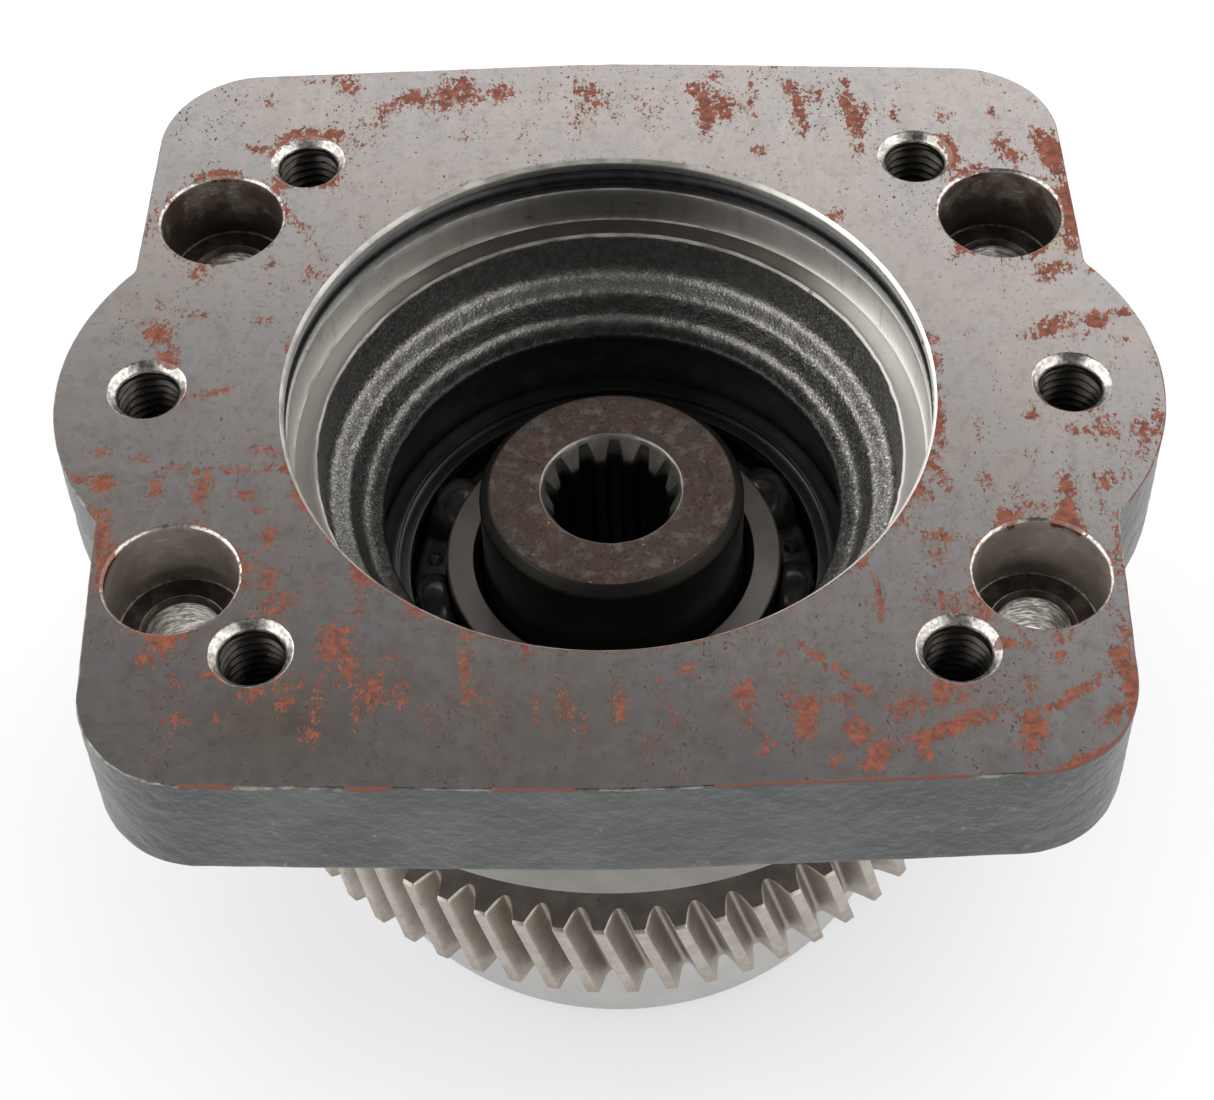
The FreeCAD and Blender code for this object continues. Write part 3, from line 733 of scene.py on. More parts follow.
def mat_counterbore():
    """Counterbore wall: rough feed marks, brown-grey oxide."""
    m = Mat("counterbore_wall")
    x, y, z = m.xyz()
    rings = m.noise(1.0, 3, 0.65, m.stretch(90, 90, 2600))
    blotch = m.noise(170, 5, 0.65)
    chat = m.noise(1.0, 4, 0.7, m.stretch(380, 380, 1500))
    base = m.mix(m.step(blotch, 0.40, 0.64), (0.120, 0.088, 0.070),
                 (0.250, 0.215, 0.185))
    base = m.mix(m.math("MULTIPLY", m.step(chat, 0.53, 0.68), m.step(
        blotch, 0.46, 0.62)), base, (0.56, 0.51, 0.46))
    # painted shade: the wall darkens with depth, much more in the far holes than in
    # the near ones
    depth_painted_shade = m.step(m.math("ADD", z, m.math("MULTIPLY", m.math(
        "SUBTRACT", blotch, 0.5), 0.008)), -0.0055, -0.0105)
    away = m.step(y, -0.02, 0.02)
    far = m.math("ADD", 0.12, m.math("MULTIPLY", away, 0.70))
    # painted light: the walls of the near holes are lightened
    base = m.mix(m.math("MULTIPLY", m.math("SUBTRACT", 1.0, away), 0.50), base,
                 (0.50, 0.44, 0.385))
    base = m.mix(m.math("MULTIPLY", depth_painted_shade, far), base, (0.040, 0.034, 0.030))
    rim = m.step(m.math("ADD", z, m.math("MULTIPLY", m.math(
        "SUBTRACT", m.noise(420, 4, 0.6), 0.5), 0.004)), -0.0022, -0.0008)
    rustm = m.step(m.math("ADD", m.attr("rust"), m.math(
        "MULTIPLY", m.math("SUBTRACT", m.noise(520, 4, 0.65), 0.5), 1.6)),
        0.55, 0.68)
    base = m.mix(m.math("MULTIPLY", rim, 0.25), base, (0.50, 0.43, 0.36))
    base = m.mix(m.math("MULTIPLY", rustm, rim), base, RUST)
    rough = m.math("ADD", 0.36, m.math("MULTIPLY", blotch, 0.22))
    n = m.bump(rings, 0.55, 0.00016)
    n = m.bump(chat, 0.55, 0.00016, n)
    return m.set(color=base, metallic=0.82, rough=rough, normal=n)


def mat_seat():
    """Counterbore seat and its chamfer: dark with fine turning rings."""
    m = Mat("counterbore_seat")
    base = m.mix(m.step(m.noise(260, 4, 0.6), 0.4, 0.66), (0.045, 0.038, 0.033),
                 (0.105, 0.092, 0.080))
    rough = m.math("ADD", 0.34, m.math("MULTIPLY", m.noise(500, 3, 0.6), 0.2))
    n = m.bump(m.noise(1800, 3, 0.6), 0.35, 0.00010)
    return m.set(color=base, metallic=0.85, rough=rough, normal=n)


def mat_drilled():
    """Drilled wall below the seat: bright with coarse spiral marks."""
    m = Mat("drilled_wall")
    marks = m.noise(1.0, 4, 0.7, m.stretch(420, 420, 1900))
    base = m.mix(m.step(marks, 0.42, 0.60), (0.20, 0.165, 0.135),
                 (0.72, 0.695, 0.655))
    rough = m.math("ADD", 0.30, m.math("MULTIPLY", marks, 0.22))
    n = m.bump(marks, 0.8, 0.00028)
    return m.set(color=base, metallic=0.9, rough=rough, normal=n)


def mat_chamfer():
    """Bright countersunk chamfer, torn slightly by the tool."""
    m = Mat("cut_chamfer")
    chat = m.noise(900, 4, 0.7)
    base = m.mix(m.step(chat, 0.38, 0.62), (0.30, 0.280, 0.250),
                 (0.66, 0.645, 0.62))
    rustm = m.step(m.math("ADD", m.attr("rust"), m.math(
        "MULTIPLY", m.math("SUBTRACT", m.noise(700, 4, 0.65), 0.5), 1.6)),
        0.66, 0.76)
    base = m.mix(m.math("MULTIPLY", rustm, 0.85), base, RUST)
    metal = m.math("SUBTRACT", 1.0, m.math("MULTIPLY", rustm, 0.9))
    rough = m.math("ADD", 0.24, m.math("MULTIPLY", chat, 0.20))
    rough = m.math("ADD", rough, m.math("MULTIPLY", rustm, 0.35))
    n = m.bump(m.noise(1100, 4, 0.7), 0.55, 0.00012)
    return m.set(color=base, metallic=metal, rough=rough, normal=n)


def mat_edge():
    """Thin broken edges where a cut meets a cut or the casting."""
    m = Mat("bright_edge")
    chat = m.noise(150, 3, 0.55)
    x, y, _ = m.xyz()
    base = m.mix(m.step(chat, 0.36, 0.66), (0.26, 0.25, 0.235),
                 (0.50, 0.49, 0.47))
    # painted highlight: the edges on the right, and faintly on the left, are lightened
    # towards white
    lit = m.math("MAXIMUM", m.step(x, 0.020, 0.050), m.math(
        "MULTIPLY", m.step(x, -0.036, -0.058), 0.12))
    base = m.mix(m.math("MULTIPLY", lit, 0.85), base, (0.90, 0.89, 0.86))
    rust = m.step(m.noise(260, 5, 0.7), 0.64, 0.70)
    base = m.mix(m.math("MULTIPLY", rust, 0.7), base, RUST)
    rough = m.math("ADD", 0.46, m.math("MULTIPLY", chat, 0.16))
    return m.set(color=base, metallic=0.86, rough=rough)


def mat_thread():
    """Tapped thread: very dark flanks."""
    m = Mat("tapped_thread")
    base = m.mix(m.noise(600, 3, 0.6), (0.030, 0.027, 0.024),
                 (0.075, 0.069, 0.062))
    rough = m.math("ADD", 0.27, m.math("MULTIPLY", m.noise(900, 3, 0.6), 0.16))
    n = m.bump(m.noise(2600, 3, 0.6), 0.3, 0.00005)
    return m.set(color=base, metallic=0.9, rough=rough, normal=n)


def mat_spigot():
    """Ground spigot and underside: light satin steel grey."""
    m = Mat("turned_spigot")
    tv = m.turned(1.0, 0.0006)
    fine = m.noise(4200, 2, 0.6, tv)
    cloud = m.noise(40, 4, 0.6)
    base = m.mix(m.step(cloud, 0.36, 0.66), (0.270, 0.258, 0.238),
                 (0.222, 0.208, 0.190))
    spots = m.math("MULTIPLY", m.step(m.noise(800, 3, 0.65), 0.68, 0.74),
                   m.step(m.noise(60, 3, 0.5), 0.50, 0.62))
    base = m.mix(m.math("MULTIPLY", spots, 0.8), base, RUST_DEEP)
    rough = m.math("ADD", 0.33, m.math("MULTIPLY", m.noise(220, 3, 0.6), 0.10))
    n = m.bump(fine, 0.20, 0.00005)
    return m.set(color=base, metallic=0.95, rough=rough, normal=n)


def mat_under():
    """Machined gearbox face under the flange."""
    m = Mat("gearbox_face")
    x, y, z = m.xyz()
    tv = m.turned(1.0, 0.0006)
    fine = m.noise(1700, 3, 0.6, tv)
    cloud = m.noise(40, 4, 0.6)
    base = m.mix(m.step(cloud, 0.36, 0.66), (0.50, 0.475, 0.45),
                 (0.42, 0.40, 0.385))
    rustm = m.math("MULTIPLY", m.step(m.noise(300, 5, 0.68), 0.58, 0.61),
                   m.step(m.noise(45, 3, 0.5), 0.50, 0.62))
    base = m.mix(rustm, base, RUST)
    metal = m.math("SUBTRACT", 0.95, m.math("MULTIPLY", rustm, 0.9))
    rough = m.math("ADD", 0.36, m.math("MULTIPLY", rustm, 0.4))
    n = m.bump(fine, 0.28, 0.00008)
    return m.set(color=base, metallic=metal, rough=rough, normal=n)


def mat_gear():
    """Ground, oil-stained gear teeth."""
    m = Mat("gear_flank")
    x, y, z = m.xyz()
    along = m.noise(1.0, 3, 0.6, m.stretch(260, 260, 1500))
    cloud = m.noise(190, 4, 0.6)
    base = m.mix(m.step(cloud, 0.36, 0.66), (0.440, 0.405, 0.362),
                 (0.370, 0.333, 0.292))
    base = m.mix(m.math("MULTIPLY", m.step(along, 0.50, 0.70), 0.22), base,
                 (0.62, 0.59, 0.555))
    # brown varnish in the roots and near the lower ends of the teeth
    r = m.radius()
    low = m.step(m.math("ADD", z, m.math("MULTIPLY", m.math(
        "SUBTRACT", m.noise(330, 4, 0.65), 0.5), 0.022)), -0.0900, -0.0985)
    root = m.step(m.math("ADD", r, m.math("MULTIPLY", m.math(
        "SUBTRACT", m.noise(420, 3, 0.6), 0.5), 0.004)), 0.0768, 0.0742)
    stain = m.math("MULTIPLY", m.math("MAXIMUM", m.math(
        "MULTIPLY", low, 0.55), m.math("MULTIPLY", root, 0.55)), 0.85)
    base = m.mix(stain, base, (0.235, 0.185, 0.150))
    spot = m.math("MULTIPLY", m.step(m.noise(700, 4, 0.65), 0.63, 0.70), 0.75)
    base = m.mix(spot, base, (0.17, 0.125, 0.10))
    rough = m.math("ADD", 0.34, m.math("MULTIPLY", m.noise(400, 3, 0.6), 0.14))
    n = m.bump(along, 0.14, 0.00007)
    return m.set(color=base, metallic=0.88, rough=rough, normal=n)


def mat_gear_end():
    """Turned gear faces with dark oil film."""
    m = Mat("gear_end_face")
    tv = m.turned(1.0, 0.0006)
    fine = m.noise(1900, 3, 0.6, tv)
    base = m.mix(m.step(m.noise(150, 4, 0.6), 0.36, 0.68), (0.215, 0.195, 0.175),
                 (0.300, 0.275, 0.245))
    spot = m.math("MULTIPLY", m.step(m.noise(620, 4, 0.6), 0.64, 0.72), 0.6)
    base = m.mix(spot, base, (0.10, 0.08, 0.065))
    rough = m.math("ADD", 0.38, m.math("MULTIPLY", m.noise(300, 3, 0.6), 0.12))
    n = m.bump(fine, 0.3, 0.00008)
    return m.set(color=base, metallic=0.86, rough=rough, normal=n)


def mat_hub_top():
    """Hub end face: grey-brown patina with reddish bloom and specks."""
    m = Mat("hub_face")
    tv = m.turned(1.0, 0.0006)
    fine = m.noise(2600, 3, 0.6, tv)
    cloud = m.noise(110, 5, 0.62)
    cloud2 = m.noise(260, 5, 0.65)
    base = m.mix(m.step(cloud, 0.36, 0.64), (0.080, 0.065, 0.056),
                 (0.080, 0.053, 0.042))
    base = m.mix(m.math("MULTIPLY", m.step(cloud2, 0.50, 0.64), 0.60), base,
                 (0.165, 0.148, 0.134))
    red = m.math("MULTIPLY", m.step(m.noise(190, 5, 0.68), 0.54, 0.68), 0.55)
    base = m.mix(red, base, (0.150, 0.078, 0.052))
    spot = m.math("MULTIPLY", m.step(m.noise(1100, 4, 0.72), 0.555, 0.62), 0.75)
    base = m.mix(spot, base, (0.034, 0.022, 0.019))
    lite = m.math("MULTIPLY", m.step(m.noise(750, 3, 0.6), 0.67, 0.74), 0.45)
    base = m.mix(lite, base, (0.42, 0.40, 0.38))
    rough = m.math("ADD", 0.40, m.math("MULTIPLY", m.noise(300, 3, 0.6), 0.14))
    n = m.bump(fine, 0.25, 0.00007)
    n = m.bump(m.noise(1500, 3, 0.6), 0.3, 0.00006, n)
    return m.set(color=base, metallic=0.80, rough=rough, normal=n)


def mat_hub_side():
    m = Mat("hub_side")
    tv = m.turned(1.0, 0.0006)
    fine = m.noise(2200, 3, 0.6, tv)
    base = m.mix(m.step(m.noise(120, 4, 0.6), 0.4, 0.68), (0.055, 0.052, 0.048),
                 (0.090, 0.083, 0.074))
    _, _, z = m.xyz()
    # painted shade: the top of the hub side and its chamfer are darker still
    base = m.mix(m.math("MULTIPLY", m.step(z, -0.0334, -0.0330), 0.75), base,
                 (0.022, 0.020, 0.018))
    rough = m.math("ADD", 0.30, m.math("MULTIPLY", m.noise(300, 3, 0.6), 0.14))
    n = m.bump(fine, 0.3, 0.00007)
    return m.set(color=base, metallic=0.88, rough=rough, normal=n)


def mat_spline():
    m = Mat("spline_teeth")
    base = m.mix(m.step(m.noise(330, 4, 0.6), 0.36, 0.66), (0.30, 0.285, 0.262),
                 (0.22, 0.205, 0.185))
    _, _, z = m.xyz()
    # painted shadow: the teeth go near black from about 35 mm below the face
    base = m.mix(m.step(z, -0.0350, -0.0385), base, (0.014, 0.013, 0.012))
    spot = m.math("MULTIPLY", m.step(m.noise(900, 3, 0.65), 0.64, 0.72), 0.6)
    base = m.mix(spot, base, (0.11, 0.085, 0.07))
    rough = m.math("ADD", 0.32, m.math("MULTIPLY", m.noise(400, 3, 0.6), 0.14))
    n = m.bump(m.noise(1.0, 3, 0.6, m.stretch(700, 700, 60)), 0.3, 0.00006)
    return m.set(color=base, metallic=0.88, rough=rough, normal=n)


def mat_ring(name, a, b, dark, painted_shade_r=0.0):
    """Ground bearing ring."""
    m = Mat(name)
    tv = m.turned(1.0, 0.0006)
    fine = m.noise(4600, 2, 0.6, tv)
    base = m.mix(m.step(m.noise(90, 4, 0.6), 0.36, 0.66), a, b)
    pit = m.math("MULTIPLY", m.step(m.noise(1300, 3, 0.65), 0.625, 0.68),
                 m.step(m.noise(140, 4, 0.6), 0.46, 0.62))
    base = m.mix(m.math("MULTIPLY", pit, dark), base, (0.045, 0.035, 0.03))
    # painted shade: inside this radius the inner chamfer beside the hub is painted
    # near black
    if painted_shade_r:
        base = m.mix(m.step(m.radius(), painted_shade_r + 0.0001, painted_shade_r - 0.0002), base,
                     (0.012, 0.011, 0.010))
    rough = m.math("ADD", 0.27, m.math("MULTIPLY", m.noise(260, 3, 0.6), 0.10))
    n = m.bump(fine, 0.16, 0.00004)
    return m.set(color=base, metallic=0.95, rough=rough, normal=n)


def mat_ball():
    m = Mat("bearing_ball")
    base = m.mix(m.noise(240, 3, 0.6), (0.50, 0.50, 0.50), (0.60, 0.60, 0.59))
    film = m.math("MULTIPLY", m.step(m.noise(160, 4, 0.6), 0.5, 0.7), 0.35)
    base = m.mix(film, base, (0.30, 0.27, 0.22))
    rough = m.math("ADD", 0.07, m.math("MULTIPLY", m.noise(300, 3, 0.6), 0.07))
    return m.set(color=base, metallic=1.0, rough=rough,
                 normal=m.bump(m.noise(900, 2, 0.5), 0.05, 0.00003))


def mat_cage():
    """Pressed steel cage, phosphate-dark with an oil gloss."""
    m = Mat("pressed_cage")
    base = m.mix(m.step(m.noise(300, 4, 0.6), 0.36, 0.68), (0.026, 0.025, 0.024),
                 (0.066, 0.062, 0.056))
    rough = m.math("ADD", 0.16, m.math("MULTIPLY", m.noise(420, 3, 0.6), 0.14))
    n = m.bump(m.noise(700, 4, 0.6), 0.25, 0.00008)
    return m.set(color=base, metallic=0.75, rough=rough, normal=n, coat=0.45,
                 coat_rough=0.12)


def mat_rubber():
    m = Mat("nitrile_rubber")
    base = m.mix(m.step(m.noise(300, 4, 0.6), 0.4, 0.7), (0.004, 0.0045, 0.006),
                 (0.010, 0.011, 0.013))
    dust = m.math("MULTIPLY", m.step(m.noise(900, 4, 0.7), 0.66, 0.74), 0.25)
    base = m.mix(dust, base, (0.20, 0.18, 0.15))
    rough = m.math("ADD", 0.20, m.math("MULTIPLY", m.noise(260, 4, 0.6), 0.14))
    n = m.bump(m.noise(1100, 3, 0.6), 0.18, 0.00005)
    return m.set(color=base, metallic=0.0, rough=rough, normal=n, spec=0.45)


def mat_floor():
    m = Mat("paper_floor")
    a = m.noise(2.2, 5, 0.6)
    b = m.noise(55, 4, 0.6)
    base = m.mix(m.step(a, 0.35, 0.65), (0.365, 0.370, 0.382),
                 (0.385, 0.386, 0.392))
    base = m.mix(m.math("MULTIPLY", m.step(b, 0.50, 0.80), 0.20), base,
                 (0.350, 0.350, 0.356))
    m.bsdf.inputs["Emission Color"].default_value = (0.985, 0.99, 1.0, 1)
    m.bsdf.inputs["Emission Strength"].default_value = 0.43
    return m.set(color=base, rough=0.75, spec=0.1)


# ---------------------------------------------------------------------------
# flange outline
# ---------------------------------------------------------------------------
def arc3(a, m, b, n):
    (ax, ay), (bx, by), (cx, cy) = a, m, b
    d = 2 * (ax * (by - cy) + bx * (cy - ay) + cx * (ay - by))
    ux = ((ax * ax + ay * ay) * (by - cy) + (bx * bx + by * by) * (cy - ay)
          + (cx * cx + cy * cy) * (ay - by)) / d
    uy = ((ax * ax + ay * ay) * (cx - bx) + (bx * bx + by * by) * (ax - cx)
          + (cx * cx + cy * cy) * (bx - ax)) / d
    r = math.hypot(ax - ux, ay - uy)
    t0 = math.atan2(ay - uy, ax - ux)
    tm = math.atan2(by - uy, bx - ux)
    t1 = math.atan2(cy - uy, cx - ux)
    ccw = (tm - t0) % (2 * PI) < (t1 - t0) % (2 * PI)
    sweep = (t1 - t0) % (2 * PI) if ccw else -((t0 - t1) % (2 * PI))
    t = t0 + sweep * np.linspace(0, 1, n, endpoint=False)
    return np.stack([ux + r * np.cos(t), uy + r * np.sin(t)], -1)


def seg(a, b, n):
    k = np.linspace(0, 1, n, endpoint=False)[:, None]
    return np.asarray(a)[None] * (1 - k) + np.asarray(b)[None] * k


EDGES = {(1, 1): (96.2, 0.0430, 0.0350), (-1, 1): (96.6, 0.0200, 0.0419),
         (-1, -1): (96.2, 0.0430, 0.0190), (1, -1): (96.0, 0.0140, 0.0419)}


def quadrant(side):
    EX35, EXS, EYS = EDGES[side]
    EY0, CR, LX, LR, NR = 94.2, 21.0, 58.5, 50.0, 3.5
    xs = lambda y: EX35 - EXS * (y - 35.0)
    yl = lambda x: EY0 - EYS * x
    y = 90.0
    for _ in range(50):
        y = yl(xs(y))
    p = (xs(y), y)
    ls, ll = math.hypot(EXS, 1.0), math.hypot(EYS, 1.0)
    down = (EXS / ls, -1.0 / ls)
    inward = (-1.0 / ll, EYS / ll)
    half = math.acos(down[0] * inward[0] + down[1] * inward[1]) / 2
    t = CR / math.tan(half)
    ca = (p[0] + down[0] * t, p[1] + down[1] * t)
    cb = (p[0] + inward[0] * t, p[1] + inward[1] * t)
    bx, by = down[0] + inward[0], down[1] + inward[1]
    bl = math.hypot(bx, by)
    cx, cy = p[0] + bx / bl * CR / math.sin(half), p[1] + by / bl * CR / math.sin(half)
    cm = (cx - bx / bl * CR, cy - by / bl * CR)
    lo, hi = 20.0, 60.0
    for _ in range(80):
        mid = (lo + hi) / 2
        if math.hypot(xs(mid) + NR * ls - LX, mid) < LR + NR:
            lo = mid
        else:
            hi = mid
    ny = (lo + hi) / 2
    nx = xs(ny) + NR * ls
    k = LR / (LR + NR)
    na = (LX + (nx - LX) * k, ny * k)
    nb = (nx - NR / ls, ny - EXS / ls * NR)
    am = (math.atan2(na[1] - ny, na[0] - nx) % (2 * PI)
          + math.atan2(nb[1] - ny, nb[0] - nx) % (2 * PI)) / 2
    nm = (nx + NR * math.cos(am), ny + NR * math.sin(am))
    flat = 14.0
    mid = (EDGES[(1, side[1])][2] + EDGES[(-1, side[1])][2]) / 2
    fy, fm = EY0 - EYS * flat, EY0 - mid * flat / 2
    piece = [arc3(na, nm, nb, 40), seg(nb, ca, 200), arc3(ca, cm, cb, 200),
             seg(cb, (flat, fy), 300),
             arc3((flat, fy), (flat / 2, fm - (fm - fy) * 0.27), (0.0, fm), 60)]
    q = np.concatenate(piece + [np.array([[0.0, fm]])])
    q = q * np.array(side)
    if side[0] * side[1] < 0:
        q = q[::-1]
    return q, (na[0] * side[0], na[1] * side[1])


def outline(count):
    """Points and outward normals of the flange outline, counter-clockwise."""
    Q = {side: quadrant(side) for side in EDGES}
    lobe_r = arc3(Q[(1, -1)][1], (108.5, 0.0), Q[(1, 1)][1], 500)
    lobe_l = arc3(Q[(-1, 1)][1], (-108.5, 0.0), Q[(-1, -1)][1], 500)
    q = np.concatenate([lobe_r, Q[(1, 1)][0], Q[(-1, 1)][0], lobe_l,
                        Q[(-1, -1)][0], Q[(1, -1)][0]])
    d = np.hypot(*(q - np.roll(q, 1, 0)).T)
    q = q[d > 1e-6]
    q2 = np.concatenate([q, q[:1]])
    s = np.concatenate([[0], np.cumsum(np.hypot(*(q2[1:] - q2[:-1]).T))])
    at = np.linspace(0, s[-1], count, endpoint=False)
    P2 = np.stack([np.interp(at, s, q2[:, 0]), np.interp(at, s, q2[:, 1])], -1)
    eps = 0.4
    A = np.stack([np.interp((at - eps) % s[-1], s, q2[:, i]) for i in (0, 1)], -1)
    B = np.stack([np.interp((at + eps) % s[-1], s, q2[:, i]) for i in (0, 1)], -1)
    T = B - A
    T /= np.hypot(*T.T)[:, None]
    return P2, np.stack([T[:, 1], -T[:, 0]], -1)


def in_poly(pts, loop):
    x, y = pts[:, 0], pts[:, 1]
    inside = np.zeros(len(pts), bool)
    a = loop
    b = np.roll(loop, -1, 0)
    for (x0, y0), (x1, y1) in zip(a, b):
        c = ((y0 > y) != (y1 > y))
        if c.any():
            xi = (x1 - x0) * (y - y0) / ((y1 - y0) or 1e-12) + x0
            inside ^= c & (x < xi)
    return inside


def plane_fill(geo, z, outer, holes, step, mat, seed=1):
    """Triangles between an outer loop and holes, with points inside."""
    loops = [outer] + holes
    pts = list(np.concatenate(loops))
    edges, at = [], 0
    for lp in loops:
        n = len(lp)
        edges += [(at + i, at + (i + 1) % n) for i in range(n)]
        at += n
    inner = []
    if step:
        lo, hi = outer.min(0), outer.max(0)
        gx = np.arange(lo[0], hi[0], step)
        gy = np.arange(lo[1], hi[1], step * 0.87)
        X, Y = np.meshgrid(gx, gy)
        X = X + (np.arange(len(gy)) % 2)[:, None] * step / 2
        g = np.stack([X.ravel(), Y.ravel()], -1)
        rng = np.random.RandomState(seed)
        g = g + rng.uniform(-0.18, 0.18, g.shape) * step
        g = g[in_poly(g, outer)]
        for h in holes:
            g = g[~in_poly(g, h)]
        allb = np.concatenate(loops)
        keep = np.ones(len(g), bool)
        for i in range(0, len(g), 2000):
            d = np.hypot(g[i:i + 2000, None, 0] - allb[None, :, 0],
                         g[i:i + 2000, None, 1] - allb[None, :, 1]).min(1)
            keep[i:i + 2000] = d > step * 0.45
        inner = list(g[keep])
    allp = np.array(pts + inner)
    res = delaunay_2d_cdt([Vector(p) for p in allp.tolist()], edges, [], 0,
                          1e-7, True)
    verts, _, faces, orig = res[0], res[1], res[2], res[3]
    P = np.array([allp[o[0]] if o else [v[0], v[1]]
                  for v, o in zip(verts, orig)])
    F = np.array(faces)
    c = P[F].mean(1)
    ok = in_poly(c, outer)
    for h in holes:
        ok &= ~in_poly(c, h)
    geo.tris(np.concatenate([P, np.full((len(P), 1), z)], 1), F[ok], mat)


